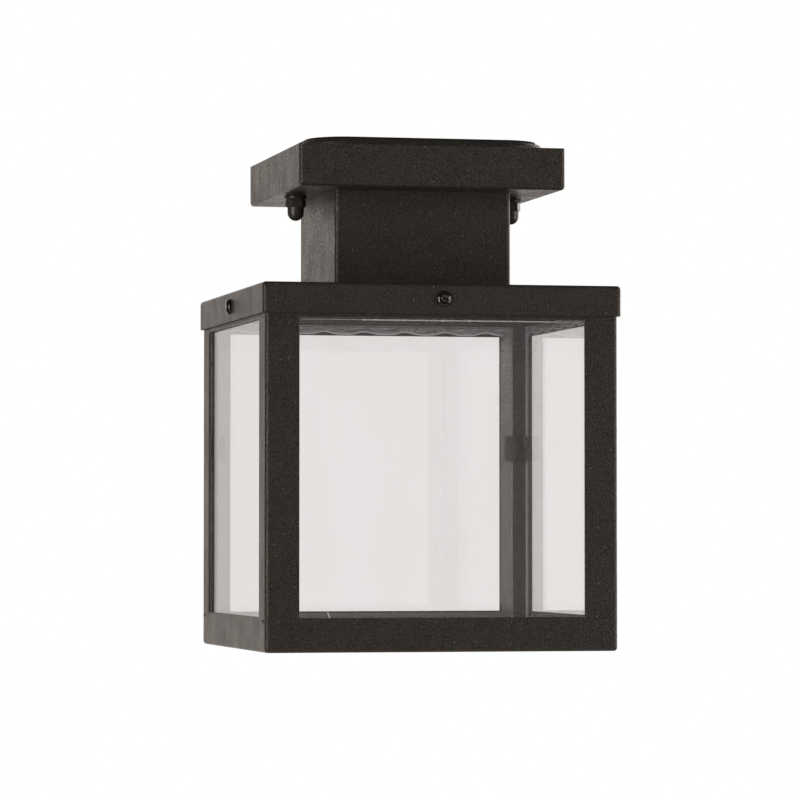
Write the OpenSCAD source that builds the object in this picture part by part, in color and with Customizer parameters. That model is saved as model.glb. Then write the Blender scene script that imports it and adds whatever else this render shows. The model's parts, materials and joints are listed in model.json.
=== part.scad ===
// Porch ceiling lantern: a square steel canopy and neck carry a flat cap, and a glazed cage of
// four angle posts hangs inside the cap's folded edge. The origin is the middle of the ceiling
// face, +Z points up into the ceiling, and the front of the lantern faces -Y.

/* [Ceiling plate] */
// Thickness of the foam pad between the plate and the ceiling
gasket_t = 1; // [0.5:0.1:2]
// How far the foam pad stays back from the ceiling plate's edge
gasket_inset = 3; // [2:0.5:5]
// Radius of the ceiling plate's corners, seen from above
plate_corner_r = 20; // [8:1:22]
// Depth of the ceiling plate's folded edge
plate_depth = 12; // [8:0.5:14]
// Sheet thickness of the ceiling plate
plate_sheet = 1.2; // [1:0.1:1.5]
// Outer radius of the ceiling plate's pressed edge
plate_bend_r = 2; // [1.6:0.1:2.2]
// How far the ceiling plate stands above the canopy's rim
plate_proud = 3; // [1:0.5:5]
// Distance between the middles of the two fixing slots
slot_spacing = 70; // [64:1:72]
// Width of a fixing slot
slot_w = 5.5; // [4.5:0.1:6]
// Length of a fixing slot from end to end
slot_len = 16; // [10:1:18]
// Radius of the cable hole in the ceiling plate
cable_hole_r = 8; // [7:0.5:10]
// Radius of the way through the rubber cable bush
cable_way_r = 4.5; // [3.5:0.1:5.5]

/* [Hanging studs] */
// Distance between the two hanging studs
stud_spacing = 100; // [94:1:110]
// Distance from a hanging stud's axis to the ceiling plate's edge
stud_edge = 5; // [4.8:0.1:6]
// Diameter of a hanging stud
stud_d = 5; // [4:0.5:5]
// Width across the flats of a cap nut
cap_nut_af = 8; // [7.5:0.1:8.5]
// Height of a cap nut with its dome
cap_nut_h = 10; // [9:0.5:12]
// Diameter of a cap nut's dome
cap_nut_dome_d = 7.4; // [7:0.1:7.6]
// Thickness of the washer under a cap nut
washer_t = 1; // [0.8:0.1:1.6]

/* [Canopy] */
// How far the canopy's edge lies outside the ceiling plate's edge
canopy_margin = 5; // [3:0.5:10]
// Height of the canopy
canopy_h = 18.5; // [17:0.5:22]
// Sheet thickness of the canopy
canopy_sheet = 1.2; // [1:0.1:1.5]

/* [Neck] */
// Width of the square neck
neck_w = 80; // [78:1:84]
// Height of the neck
neck_h = 43.5; // [42:0.5:60]
// Sheet thickness of the neck
neck_sheet = 1.2; // [1:0.1:1.5]
// Width of the neck's inward flanges
neck_flange_w = 12; // [10:0.5:13]

/* [Cap] */
// Width of the cap
cap_w = 160; // [155:1:180]
// Height of the cap's folded edge
cap_h = 13.3; // [12:0.1:16]
// Sheet thickness of the cap
cap_sheet = 1; // [0.8:0.1:1.2]
// Radius of the hole in the cap that the lamp passes
lamp_hole_r = 26; // [24:0.5:27]

/* [Cage] */
// Gap all round between the cap's edge and the cage
cage_gap = 0.4; // [0.3:0.1:0.6]
// Sheet thickness of the posts and rails
frame_sheet = 1; // [0.8:0.1:1.2]
// Width of a post's leg and height of the bottom rail
leg_w = 15; // [13:0.5:18]
// Height of the windows between the rails
window_h = 129.8; // [110:0.1:160]
// How far the top rail shows below the cap's edge
rail_show = 1.9; // [1:0.1:4]
// How far each post is let into the bottom rail's corner
post_foot = 1.5; // [1:0.1:3]
// Outer radius of the folded edges and corners of the sheet-metal parts
fold_r = 1.8; // [1.6:0.1:2.4]

/* [Glass] */
// Thickness of the glass panes
glass_t = 3; // [2.5:0.1:4]
// How far a side pane reaches behind the posts
side_lap = 5.9; // [5:0.1:6.5]
// How far a side pane reaches behind the top and bottom rails
end_lap = 4.6; // [4:0.1:5]
// How far the bottom pane reaches over the bottom rail's flange
floor_lap = 9; // [6:0.5:11]
// Thickness of the silicone that beds the glass
bed_t = 0.4; // [0.3:0.1:0.6]
// Distance from one dab of silicone to the next along the top rail
dab_pitch = 19.6; // [15:0.1:30]
// How far the silicone's lower edge rises between two dabs
dab_rise = 1.2; // [0.5:0.1:1.6]
// Height of a pane's retaining tab
tab_h = 12; // [8:0.5:16]
// How far the retaining tabs sit above the middle of the windows
tab_rise = 11.8; // [0:0.1:20]
// How far a retaining tab reaches over the glass
tab_reach = 3.4; // [2.5:0.1:4]
// Sheet thickness of a retaining tab
tab_sheet = 0.6; // [0.5:0.1:0.8]

/* [Cage screws] */
// Diameter of a cage screw
cage_screw_d = 4; // [3.5:0.1:4.5]
// Diameter of a cage screw's head
cage_screw_head_d = 6.9; // [6.5:0.1:8]
// Height of a cage screw's head
cage_screw_head_h = 2.2; // [1.8:0.1:2.6]
// Length of a cage screw under its head
cage_screw_len = 7; // [6:0.5:8]

/* [Inner fasteners] */
// Diameter of the screws that join the neck to the canopy and to the cap
neck_screw_d = 4; // [3.5:0.1:4.5]
// Width across the flats of the small hex nuts
small_nut_af = 7; // [6.5:0.1:7.5]
// Height of the small hex nuts
small_nut_h = 3.2; // [2.8:0.1:3.6]

/* [Lampholder] */
// Outer radius of the lampholder
holder_r = 20; // [19:0.5:21]
// Length of the lampholder's cover
holder_cover_h = 16; // [15:0.5:18]
// Length of the lampholder's body
holder_body_h = 31; // [30:0.5:34]
// Inner radius of the screw shell, for an E27 lamp cap
shell_r = 13.3; // [13.2:0.05:13.5]
// Wall of the screw shell
shell_sheet = 0.4; // [0.3:0.05:0.5]
// Length of the screw shell
shell_len = 22; // [20:0.5:24]
// Outer radius of the hollow threaded tube that holds the lampholder
tube_r = 5; // [4.5:0.1:5.5]
// Radius of the way through the hollow tube
tube_way_r = 3.6; // [3.4:0.1:4]

/* [Wiring] */
// Radius of an insulated wire
wire_r = 1.1; // [0.9:0.05:1.3]
// Distance between two poles of the terminal block
pole_pitch = 9; // [8:0.5:10]
// Depth of the terminal block along its wires
block_depth = 16; // [14:0.5:18]
// Height of the terminal block
block_h = 15; // [14:0.5:16]

/* [Hidden] */

$fn = 64;
slip = 0.1;                       // clearance of a screw or stud in its own nut
hole_gap = 0.3;                   // clearance of a screw in a plain hole
cut = 1;                          // how far a cutting shape passes the face it opens

// Levels, from the ceiling down
z_plate = -gasket_t;
z_canopy_rim = z_plate - plate_proud;
z_canopy = z_canopy_rim - canopy_h;
z_canopy_floor = z_canopy + canopy_sheet;
z_cap = z_canopy - neck_h;
z_cap_rim = z_cap - cap_h;
z_cage = z_cap - cap_sheet - cage_gap;
z_window_top = z_cap_rim - rail_show;
z_window_bottom = z_window_top - window_h;
z_bottom = z_window_bottom - leg_w;
z_cage_screw = z_cap - cap_h / 2;

// Widths and half widths, from the middle out
plate_w = stud_spacing + 2 * stud_edge;
canopy_w = plate_w + 2 * canopy_margin;
cage_half = cap_w / 2 - cap_sheet - cage_gap;
window_half = cage_half - leg_w;
frame_inner = cage_half - frame_sheet;
glass_out = frame_inner - bed_t;
glass_in = glass_out - glass_t;
pane_half = window_half + side_lap;
bottom_pane_half = window_half + floor_lap;
neck_screw_at = neck_w / 2 - neck_sheet - neck_flange_w / 2;
neck_open = neck_w / 2 - neck_sheet - neck_flange_w;

// Folds
edge_r = fold_r - 0.1;            // bend of the folded edges, just inside the corners' radius

// Fasteners
neck_head_d = 7.4;
neck_head_h = 2.4;
screw_tail = 0.8;                 // what shows of a screw past its nut
washer_margin = 1;                // how far a washer reaches past its cap nut's flats
washer_r = cap_nut_af / 2 + washer_margin;
hex_share = 0.4;                  // the hexagon's share of a cap nut's height
stud_weld_margin = 0.3;           // how far the weld collar stands out round a stud
stud_weld_h = 1;
nut_skin = 2;                     // metal left at the end of a cap nut's blind thread
head_rim = 0.45;                  // a pan head's straight rim, as a share of its height
head_crown = 0.72;                // radius of a pan head's crown, as a share of its width
recess_w = 0.9;                   // width, length and depth of a head's cross recess
recess_len = 3.8;
recess_depth = 1.3;
nut_chamfer = 0.15;               // the chamfer's share of a hex nut's height
weld_nut_af = 6;
weld_nut_h = 3.4;

// Silicone beds
bed_inset = 0.6;                  // how far a bed stays back from its pane's edge
bed_lip = 0.8;                    // how far a bed stays back from the window's edge
dab_steps = 8;                    // straight steps in each wave of the scalloped edge

// Glass
edge_grind = 0.3;                 // ground corner along the edges of each pane
tab_gap = 0.3;                    // room between a pane's edge and its tab

// Lampholder
tube_nut_af = 14;
tube_nut_h = 2.5;
tube_above = 2.5;                 // what stands above the upper nut
z_holder = z_canopy - tube_nut_h;
z_holder_seam = z_holder - holder_cover_h;
z_mouth = z_holder_seam - holder_body_h;
holder_wall = 2.4;
holder_roof = 3;
holder_flat_r = 8;                // radius of the flat on top of the lampholder
holder_boss_r = 3;
holder_screw_bite = 6;            // how far the lampholder's screws reach into the cover
groove_count = 3;                 // grip grooves round the lampholder's body
groove_first = 5;
groove_pitch = 4;
groove_r = 1.2;
groove_out = 0.4;                 // how far a groove's centre lies outside the body
shell_collar = 4.2;               // length of the narrower collar at the top of the screw shell
shell_step = 1;                   // how much narrower the collar is than the shell
shell_flange = 1.6;               // how far the collar's top flange reaches inside the shell
clamp_w = 5;
clamp_h = 5;
clamp_at = 6;                     // from the lampholder's axis to each clamp
clamp_bite = 3;                   // how far a wire goes into its clamp
mouth_lip = 1.5;                  // how far the screw shell starts inside the mouth
shell_gap = 0.15;
z_shell = z_mouth + mouth_lip;
z_shell_top = z_shell + shell_len;
contact_w = 6;
contact_t = 0.5;
contact_drop = 3;                 // how far the contact's tip hangs below the base plate
contact_back = 8;                 // from the axis back to the contact's fixed end
contact_root = 3;                 // from the axis back to its first bend
contact_tip = 6;                  // from the axis out to its tip
contact_pad = 2;                  // length of the level pad at its tip
contact_lean = 0.3;               // shift of the bends between its two faces

// Ceiling plate
slot_room = 2;                    // how much wider the foam's cut-outs are than the slots
bush_flange = 2;                  // how far the bush's flanges reach over the plate
bush_bottom = 1.8;                // thickness of the bush's lower flange

// Wiring
block_walls = 2.5;                // plastic outside the first and last pole
block_w = 3 * pole_pitch + 2 * block_walls;
block_screw_d = 3;
block_edge = 2.3;                 // room between a block screw and the neck's flange
block_mid = neck_open - block_edge - block_screw_d / 2;
block_front = block_mid - block_depth / 2;
block_way_drop = 5;               // depth of the wire ways below the block's top
z_block_way = z_canopy_floor + block_h - block_way_drop;
block_way_gap = 0.4;              // clearance of a wire in its way
block_way_r = wire_r + block_way_gap;
block_screw_head_d = 4;
block_screw_head_h = 1.6;
block_rib_h = 1.5;                // height of the raised rib over each pole
slot_cut_w = 0.6;                 // width and depth of a terminal screw's slot
earth_edge = 1;                   // room between the earth nut and the neck's flange
earth_y = -(neck_open - small_nut_af / 2 / cos(30) - earth_edge);
z_tube_top = z_canopy_floor + tube_nut_h + tube_above;
z_tube_low = z_holder - holder_roof - tube_nut_h / 2;
plastic_screw_d = 2.5;
plastic_screw_head_d = 4.2;
plastic_screw_head_h = 1.5;
holder_screw_at = shell_r - shell_flange - plastic_screw_head_d / 2 - hole_gap;
wire_sides = 8;
wire_steps = 8;                   // rings along each stretch of a wire
wire_in = 3;                      // how far a wire reaches into the terminal block
earth_rise = 4;                   // how far the earth wire rises to pass over the hollow tube
lead_clamp = 1.5;                 // how far a wire runs straight out of a clamp, at either end
lead_tube = 3;                    // of the tube, out of a pole and on either side of its top
lead_out = 5;
lead_pole = 6;
lead_earth = 4;
lead_top = 7;
lead_lug = 5;
wire_apart = 1.5;                 // half the distance between the two wires in the tube

// ---------------------------------------------------------------- shared shapes

// Carries a section round a square with rounded corners. In the section x is measured outwards
// from the corner's centre and y is the height.
module round_square(w, r) {
    for (turn = [0:90:270]) rotate(turn) {
        translate([w / 2 - r, 0, 0]) rotate([90, 0, 0])
            linear_extrude(w - 2 * r, center = true) children();
        translate([w / 2 - r, w / 2 - r, 0]) rotate_extrude(angle = 90) children();
    }
}

// Solid section of a pan's edge, with a rounded lower corner
module edge_section(r, depth, bend) {
    translate([0, bend]) square([r, depth - bend]);
    square([r - bend, depth]);
    translate([r - bend, bend]) circle(bend);
}

// Sheet-metal pan with its floor on z = 0 and its rim at z = depth
module pan(w, r, depth, sheet, bend) {
    round_square(w, r) difference() {
        edge_section(r, depth, bend);
        translate([0, sheet]) edge_section(r - sheet, depth, bend - sheet);
        translate([-r, -cut]) square([r, depth + 2 * cut]);
    }
    translate([0, 0, sheet / 2]) cube([w - 2 * r, w - 2 * r, sheet], center = true);
}

// Flat pad whose outline is a square with rounded corners
module round_pad(w, r, h) {
    round_square(w, r) square([r, h]);
    translate([0, 0, h / 2]) cube([w - 2 * r, w - 2 * r, h], center = true);
}

// Upright cylinder between two levels
module upright(r, low, high) {
    translate([0, 0, low]) cylinder(r = r, h = high - low);
}

// Upright slot along X through everything between two levels
module slot(w, len, low, high) {
    for (side = [-1, 1]) translate([side * (len - w) / 2, 0, 0]) upright(w / 2, low, high);
    translate([-(len - w) / 2, -w / 2, low]) cube([len - w, w, high - low]);
}

// Copies at both studs, at the four neck screws, and on the four sides
module at_studs() for (side = [-1, 1]) translate([side * stud_spacing / 2, 0, 0]) children();
module at_slots() for (side = [-1, 1]) translate([side * slot_spacing / 2, 0, 0]) children();
module at_neck_screws()
    for (x = [-1, 1], y = [-1, 1]) translate([x * neck_screw_at, y * neck_screw_at, 0]) children();
module at_sides() for (turn = [0:90:270]) rotate(turn) children();

// Pan-head screw: the head's seat is z = 0, the head rises and the shank goes down
module pan_screw(d, head_d, head_h, len) {
    difference() {
        rotate_extrude() {
            translate([0, -len]) square([d / 2, len + cut / 2]);
            square([head_d / 2, head_h * head_rim]);
            intersection() {
                translate([0, head_h - head_d * head_crown]) circle(head_d * head_crown);
                square([head_d / 2, head_h]);
            }
        }
        for (turn = [0, 90]) rotate(turn)
            translate([-recess_len / 2, -recess_w / 2, head_h - recess_depth])
                cube([recess_len, recess_w, recess_depth + cut]);
    }
}

// Hexagon with chamfered corners standing on z = 0, and the same with a round bore
module hexagon(af, h) {
    corner_r = af / 2 / cos(30);
    edge = h * nut_chamfer;
    intersection() {
        cylinder(r = corner_r, h = h, $fn = 6);
        rotate_extrude() polygon([[0, 0], [af / 2, 0], [corner_r, edge], [corner_r, h - edge],
            [af / 2, h], [0, h]]);
    }
}

module hex_nut(af, h, bore_d) {
    difference() {
        hexagon(af, h);
        upright(bore_d / 2, -cut, h + cut);
    }
}

// ---------------------------------------------------------------- ceiling plate

module ceiling_gasket() {
    color("#1b1b1b") difference() {
        translate([0, 0, z_plate]) round_pad(plate_w - 2 * gasket_inset,
            plate_corner_r - gasket_inset, gasket_t);
        upright(cable_hole_r + bush_flange + hole_gap, z_plate - cut, cut);
        at_slots() slot(slot_w + slot_room, slot_len + slot_room, z_plate - cut, cut);
    }
}

module ceiling_plate() {
    color("#26241f") difference() {
        translate([0, 0, z_plate]) mirror([0, 0, 1])
            pan(plate_w, plate_corner_r, plate_depth, plate_sheet, plate_bend_r);
        upright(cable_hole_r, z_plate - plate_sheet - cut, z_plate + cut);
        at_slots() slot(slot_w, slot_len, z_plate - plate_sheet - cut, z_plate + cut);
    }
}

module cable_bush() {
    groove_low = z_plate - plate_sheet;
    color("#141414") rotate_extrude() difference() {
        union() {
            translate([cable_way_r, groove_low - bush_bottom])
                square([cable_hole_r - cable_way_r, bush_bottom + plate_sheet + gasket_t]);
            translate([cable_way_r, z_plate])
                square([cable_hole_r + bush_flange - cable_way_r, gasket_t]);
            translate([cable_way_r, groove_low - bush_bottom])
                square([cable_hole_r + bush_flange - cable_way_r, bush_bottom]);
        }
        translate([cable_hole_r + bush_flange, groove_low - bush_bottom]) rotate(45)
            square(bush_bottom, center = true);
    }
}

module hanging_studs() {
    stud_top = z_plate - plate_sheet;
    stud_low = z_canopy - washer_t - cap_nut_h + nut_skin + slip;
    color("#8d8f91") at_studs() {
        upright(stud_d / 2, stud_low, stud_top);
        upright(stud_d / 2 + stud_weld_margin, stud_top - stud_weld_h, stud_top);
    }
}

// ---------------------------------------------------------------- canopy and neck

module canopy() {
    color("#2d2a25") difference() {
        translate([0, 0, z_canopy]) pan(canopy_w, fold_r, canopy_h, canopy_sheet, edge_r);
        at_studs() upright(stud_d / 2 + hole_gap, z_canopy - cut, z_canopy_floor + cut);
        at_neck_screws() upright(neck_screw_d / 2 + hole_gap, z_canopy - cut, z_canopy_floor + cut);
        upright(tube_r + hole_gap, z_canopy - cut, z_canopy_floor + cut);
        at_block_screws() upright(block_screw_d / 2 + slip, z_canopy - cut, z_canopy_floor + cut);
        translate([0, earth_y, 0])
            upright(neck_screw_d / 2 + hole_gap, z_canopy - cut, z_canopy_floor + cut);
    }
}

module nut_washers() {
    color("#9a9a98") at_studs() difference() {
        upright(washer_r, z_canopy - washer_t, z_canopy);
        upright(stud_d / 2 + slip, z_canopy - washer_t - cut, z_canopy + cut);
    }
}

module cap_nuts() {
    hex_h = cap_nut_h * hex_share;
    dome_r = cap_nut_dome_d / 2;
    color("#2a2724") at_studs() translate([0, 0, z_canopy - washer_t]) mirror([0, 0, 1])
        difference() {
            union() {
                hexagon(cap_nut_af, hex_h);
                rotate_extrude() {
                    square([dome_r, cap_nut_h - dome_r]);
                    intersection() {
                        translate([0, cap_nut_h - dome_r]) circle(dome_r);
                        square([dome_r, cap_nut_h]);
                    }
                }
            }
            upright(stud_d / 2 + slip, -cut, cap_nut_h - nut_skin);
        }
}

module neck_tube() {
    color("#2d2a25") difference() {
        union() {
            translate([0, 0, z_cap]) round_square(neck_w, fold_r)
                translate([fold_r - neck_sheet, 0]) square([neck_sheet, neck_h]);
            for (low = [z_cap, z_canopy - neck_sheet]) translate([0, 0, low + neck_sheet / 2])
                cube([neck_w - 2 * neck_sheet, neck_w - 2 * neck_sheet, neck_sheet], center = true);
        }
        translate([0, 0, (z_cap + z_canopy) / 2])
            cube([2 * neck_open, 2 * neck_open, neck_h + 2 * cut], center = true);
        at_neck_screws() upright(neck_screw_d / 2 + hole_gap, z_cap - cut, z_canopy + cut);
    }
}

module neck_screw(grip) {
    pan_screw(neck_screw_d, neck_head_d, neck_head_h, grip + small_nut_h + screw_tail);
}

module neck_top_screws() {
    color("#8d8f91") at_neck_screws() translate([0, 0, z_canopy - neck_sheet]) mirror([0, 0, 1])
        neck_screw(neck_sheet + canopy_sheet);
}

module neck_top_nuts() {
    color("#8d8f91") at_neck_screws() translate([0, 0, z_canopy_floor])
        hex_nut(small_nut_af, small_nut_h, neck_screw_d + 2 * slip);
}

module neck_bottom_screws() {
    color("#8d8f91") at_neck_screws() translate([0, 0, z_cap - cap_sheet]) mirror([0, 0, 1])
        neck_screw(cap_sheet + neck_sheet);
}

module neck_bottom_nuts() {
    color("#8d8f91") at_neck_screws() translate([0, 0, z_cap + neck_sheet])
        hex_nut(small_nut_af, small_nut_h, neck_screw_d + 2 * slip);
}

// ---------------------------------------------------------------- cap and cage

module top_cap() {
    color("#2d2a25") difference() {
        translate([0, 0, z_cap]) mirror([0, 0, 1]) pan(cap_w, fold_r, cap_h, cap_sheet, edge_r);
        upright(lamp_hole_r, z_cap - cap_sheet - cut, z_cap + cut);
        at_neck_screws() upright(neck_screw_d / 2 + hole_gap, z_cap - cap_sheet - cut, z_cap + cut);
        at_cage_screws() translate([0, 0, -cap_sheet - cut])
            cylinder(d = cage_screw_d + 2 * hole_gap, h = cap_sheet + 2 * cut);
    }
}

// Copies on the four sides, with z = 0 on the cap's outer face and +Z pointing out of it
module at_cage_screws() {
    at_sides() translate([cap_w / 2, 0, z_cage_screw]) rotate([0, 90, 0]) children();
}

module cage_screws() {
    color("#1a1a1a") at_cage_screws()
        pan_screw(cage_screw_d, cage_screw_head_d, cage_screw_head_h, cage_screw_len);
}

module cage_weld_nuts() {
    color("#8d8f91") at_cage_screws()
        translate([0, 0, -cap_sheet - cage_gap - frame_sheet - weld_nut_h])
            hex_nut(weld_nut_af, weld_nut_h, cage_screw_d + 2 * slip);
}

module top_rail_frame() {
    color("#2d2a25") difference() {
        translate([0, 0, z_cage]) mirror([0, 0, 1])
            pan(2 * cage_half, fold_r, z_cage - z_window_top, frame_sheet, edge_r);
        translate([0, 0, z_cage])
            cube([2 * window_half, 2 * window_half, 2 * frame_sheet + cut], center = true);
        at_cage_screws() translate([0, 0, -cap_sheet - cage_gap - frame_sheet - cut])
            cylinder(d = cage_screw_d + 2 * hole_gap, h = frame_sheet + 2 * cut);
    }
}

// Section of a post whose outer corner is at the origin and whose legs run along -X and -Y
module angle_section(leg, sheet, r) {
    difference() {
        union() {
            translate([-leg, -sheet]) square([leg - r, sheet]);
            translate([-sheet, -leg]) square([sheet, leg - r]);
            translate([-r, -r]) intersection() {
                circle(r);
                square(r);
            }
        }
        translate([-r, -r]) circle(r - sheet);
    }
}

// Post at the corner that one of the four quarter turns brings it to
module post(turn) {
    low = z_window_bottom - post_foot;
    color("#2d2a25") rotate(turn) translate([cage_half, cage_half, low])
        linear_extrude(z_window_top - low) angle_section(leg_w, frame_sheet, fold_r);
}

module bottom_rail_frame() {
    color("#2d2a25") difference() {
        translate([0, 0, z_bottom]) pan(2 * cage_half, fold_r, leg_w, frame_sheet, edge_r);
        translate([0, 0, z_bottom])
            cube([2 * window_half, 2 * window_half, 2 * frame_sheet + cut], center = true);
        at_sides() translate([window_half, window_half, z_window_bottom - post_foot])
            cube([leg_w + cut, leg_w + cut, post_foot + cut]);
    }
}

// ---------------------------------------------------------------- glazing

// Section of a plate of glass with ground corners
module glass_section(w, t) {
    g = edge_grind;
    polygon([[-w / 2 + g, 0], [w / 2 - g, 0], [w / 2, g], [w / 2, t - g], [w / 2 - g, t],
        [-w / 2 + g, t], [-w / 2, t - g], [-w / 2, g]]);
}

// Sheet of glass lying on z = 0
module glass_sheet(w, d, t) {
    intersection() {
        rotate([90, 0, 0]) linear_extrude(d + 2 * cut, center = true) glass_section(w, t);
        rotate([90, 0, 90]) linear_extrude(w + 2 * cut, center = true) glass_section(d, t);
    }
}

module side_pane(turn) {
    pane_h = window_h + 2 * end_lap;
    color("#dfe6e6", 0.35) rotate(turn)
        translate([glass_in, 0, (z_window_top + z_window_bottom) / 2]) rotate([90, 0, 90])
            glass_sheet(2 * pane_half, pane_h, glass_t);
}

module bottom_pane() {
    color("#dfe6e6", 0.35) translate([0, 0, z_bottom + frame_sheet + bed_t])
        glass_sheet(2 * bottom_pane_half, 2 * bottom_pane_half, glass_t);
}

// Lower edge of the silicone along the top rail: level at the dabs and drawn up between them
function dab_edge(x) = dab_rise * pow(cos(180 * x / dab_pitch), 4);

module side_bed(turn) {
    half = pane_half - bed_inset;
    inner = window_half + bed_lip;
    top = end_lap - bed_inset;
    step = dab_pitch / dab_steps;
    count = floor(inner / step);
    points = [for (i = [-count:count]) [i * step, bed_lip / 2 + dab_edge(i * step)]];
    color("#9aa0a6") rotate(turn) translate([glass_out, 0, z_window_top]) rotate([90, 0, 90])
        linear_extrude(bed_t) difference() {
            translate([-half, -window_h - top]) square([2 * half, window_h + 2 * top]);
            polygon(concat([[-inner, bed_lip / 2]], points, [[inner, bed_lip / 2],
                [inner, -window_h - bed_lip], [-inner, -window_h - bed_lip]]));
        }
}

module bottom_glazing_bead() {
    inner = window_half + bed_lip;
    half = bottom_pane_half - bed_inset;
    color("#9aa0a6") translate([0, 0, z_bottom + frame_sheet]) linear_extrude(bed_t)
        difference() {
            square(2 * half, center = true);
            square(2 * inner, center = true);
        }
}

// Bent tab seen from its end: its foot lies on the leg, and its arm lies over the pane's edge
module tab_section() {
    t = tab_sheet;
    edge = pane_half + tab_gap;
    polygon([[frame_inner, edge], [frame_inner, frame_inner - 2 * t],
        [frame_inner - t, frame_inner - 2 * t], [frame_inner - t, edge + t],
        [glass_in - t, edge + t], [glass_in - t, pane_half - tab_reach],
        [glass_in, pane_half - tab_reach], [glass_in, edge]]);
}

module pane_tabs() {
    color("#3a3733") translate([0, 0, (z_window_top + z_window_bottom) / 2 + tab_rise])
        at_sides() for (side = [0, 1]) mirror([0, side, 0])
            linear_extrude(tab_h, center = true) tab_section();
}

// ---------------------------------------------------------------- lampholder

module threaded_tube() {
    color("#b9b9b4") difference() {
        upright(tube_r, z_tube_low, z_tube_top);
        upright(tube_way_r, z_tube_low - cut, z_tube_top + cut);
    }
}

module tube_nuts() {
    color("#b9b9b4") for (low = [z_canopy - tube_nut_h, z_canopy_floor]) translate([0, 0, low])
        hex_nut(tube_nut_af, tube_nut_h, 2 * (tube_r + slip));
}

module at_holder_screws() for (y = [-1, 1]) translate([0, y * holder_screw_at, 0]) children();

// Domed upper half of the lampholder, open below, with a boss for each of its two screws
module lampholder_cover() {
    shoulder = holder_r - holder_flat_r;
    color("#e9e7e1") translate([0, 0, z_holder_seam]) difference() {
        union() {
            rotate_extrude() difference() {
                union() {
                    square([holder_r, holder_cover_h - shoulder]);
                    translate([0, holder_cover_h - shoulder]) intersection() {
                        square([holder_r, shoulder]);
                        translate([holder_r - shoulder, 0]) circle(shoulder);
                    }
                    square([holder_r - shoulder, holder_cover_h]);
                }
                translate([0, -cut])
                    square([holder_r - holder_wall, holder_cover_h - shoulder + cut]);
                translate([0, -cut])
                    square([holder_r - shoulder, holder_cover_h - holder_roof + cut]);
                translate([holder_r - shoulder, holder_cover_h - shoulder])
                    circle(shoulder - holder_roof);
            }
            at_holder_screws() upright(holder_boss_r, 0, holder_cover_h - holder_roof / 2);
        }
        upright(tube_r + slip, -cut, holder_cover_h + cut);
        at_holder_screws() upright(plastic_screw_d / 2 + slip, -cut, holder_screw_bite + cut);
    }
}

// Lower half of the lampholder: a base plate above and a ribbed skirt round the screw shell
module lampholder_body() {
    shell_out = shell_r + shell_sheet + shell_gap;
    base_low = z_shell_top - z_mouth;
    color("#e9e7e1") translate([0, 0, z_mouth]) difference() {
        rotate_extrude() difference() {
            square([holder_r, holder_body_h]);
            translate([0, -cut]) square([shell_out, base_low + cut]);
            for (ring = [0:groove_count - 1])
                translate([holder_r + groove_out, groove_first + groove_pitch * ring])
                    circle(groove_r);
        }
        at_holder_screws() upright(plastic_screw_d / 2 + slip, base_low - cut, holder_body_h + cut);
    }
}

module holder_screws() {
    color("#b9b9b4") at_holder_screws() translate([0, 0, z_shell_top]) mirror([0, 0, 1])
        pan_screw(plastic_screw_d, plastic_screw_head_d, plastic_screw_head_h,
            z_holder_seam - z_shell_top + holder_screw_bite - slip);
}

// Wall that the lamp screws into, then a step inwards to a collar with a flange on top
module screw_shell() {
    wall_h = shell_len - shell_collar;
    collar_r = shell_r - shell_step;
    color("#c9a85a") translate([0, 0, z_shell]) rotate_extrude() {
        translate([shell_r, 0]) square([shell_sheet, wall_h + shell_sheet]);
        translate([collar_r, wall_h]) square([shell_step + shell_sheet, shell_sheet]);
        translate([collar_r, wall_h]) square([shell_sheet, shell_collar]);
        translate([shell_r - shell_flange, shell_len - shell_sheet])
            square([shell_flange - shell_step + shell_sheet, shell_sheet]);
    }
}

// Springy strip whose fixed end lies under the base plate and whose free end reaches down
module centre_contact() {
    low = -contact_drop - contact_t;
    pad = contact_tip - contact_pad;
    color("#c9a85a") translate([0, 0, z_shell_top]) rotate([90, 0, 0])
        linear_extrude(contact_w, center = true)
            polygon([[-contact_back, 0], [-contact_back, -contact_t],
                [-contact_root, -contact_t], [pad, low], [contact_tip, low],
                [contact_tip, -contact_drop], [pad + contact_lean, -contact_drop],
                [contact_lean - contact_root, 0]]);
}

// Brass clamps that stand on the base plate and take the ends of the two wires
module holder_clamps() {
    color("#c9a85a") for (x = [-1, 1]) translate([x * clamp_at, 0, z_holder_seam]) difference() {
        translate([-clamp_w / 2, -clamp_w / 2, 0]) cube([clamp_w, clamp_w, clamp_h]);
        upright(wire_r + slip, clamp_h - clamp_bite, clamp_h + cut);
    }
}

// ---------------------------------------------------------------- wiring

module at_poles() for (i = [-1:1]) translate([i * pole_pitch, 0, 0]) children();

module at_block_screws()
    for (i = [-1, 1]) translate([i * pole_pitch / 2, block_mid, 0]) children();

module terminal_block() {
    top = z_canopy_floor + block_h;
    color("#efeee9") difference() {
        translate([-block_w / 2, block_front, z_canopy_floor]) cube([block_w, block_depth, block_h]);
        at_poles() translate([0, block_front - cut, z_block_way]) rotate([-90, 0, 0])
            cylinder(r = block_way_r, h = block_depth + 2 * cut);
        at_poles() for (y = [-1, 1]) translate([0, block_mid + y * block_depth / 4, 0])
            upright(block_screw_d / 2 + slip, z_block_way, top + cut);
        at_block_screws() upright(block_screw_d / 2 + slip, z_canopy_floor - cut, top + cut);
        for (i = [-1, 1]) translate([i * pole_pitch / 2, 0, top])
            cube([block_screw_head_d + 2 * hole_gap, 3 * (block_mid + block_depth), 2 * block_rib_h],
                center = true);
    }
}

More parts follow.
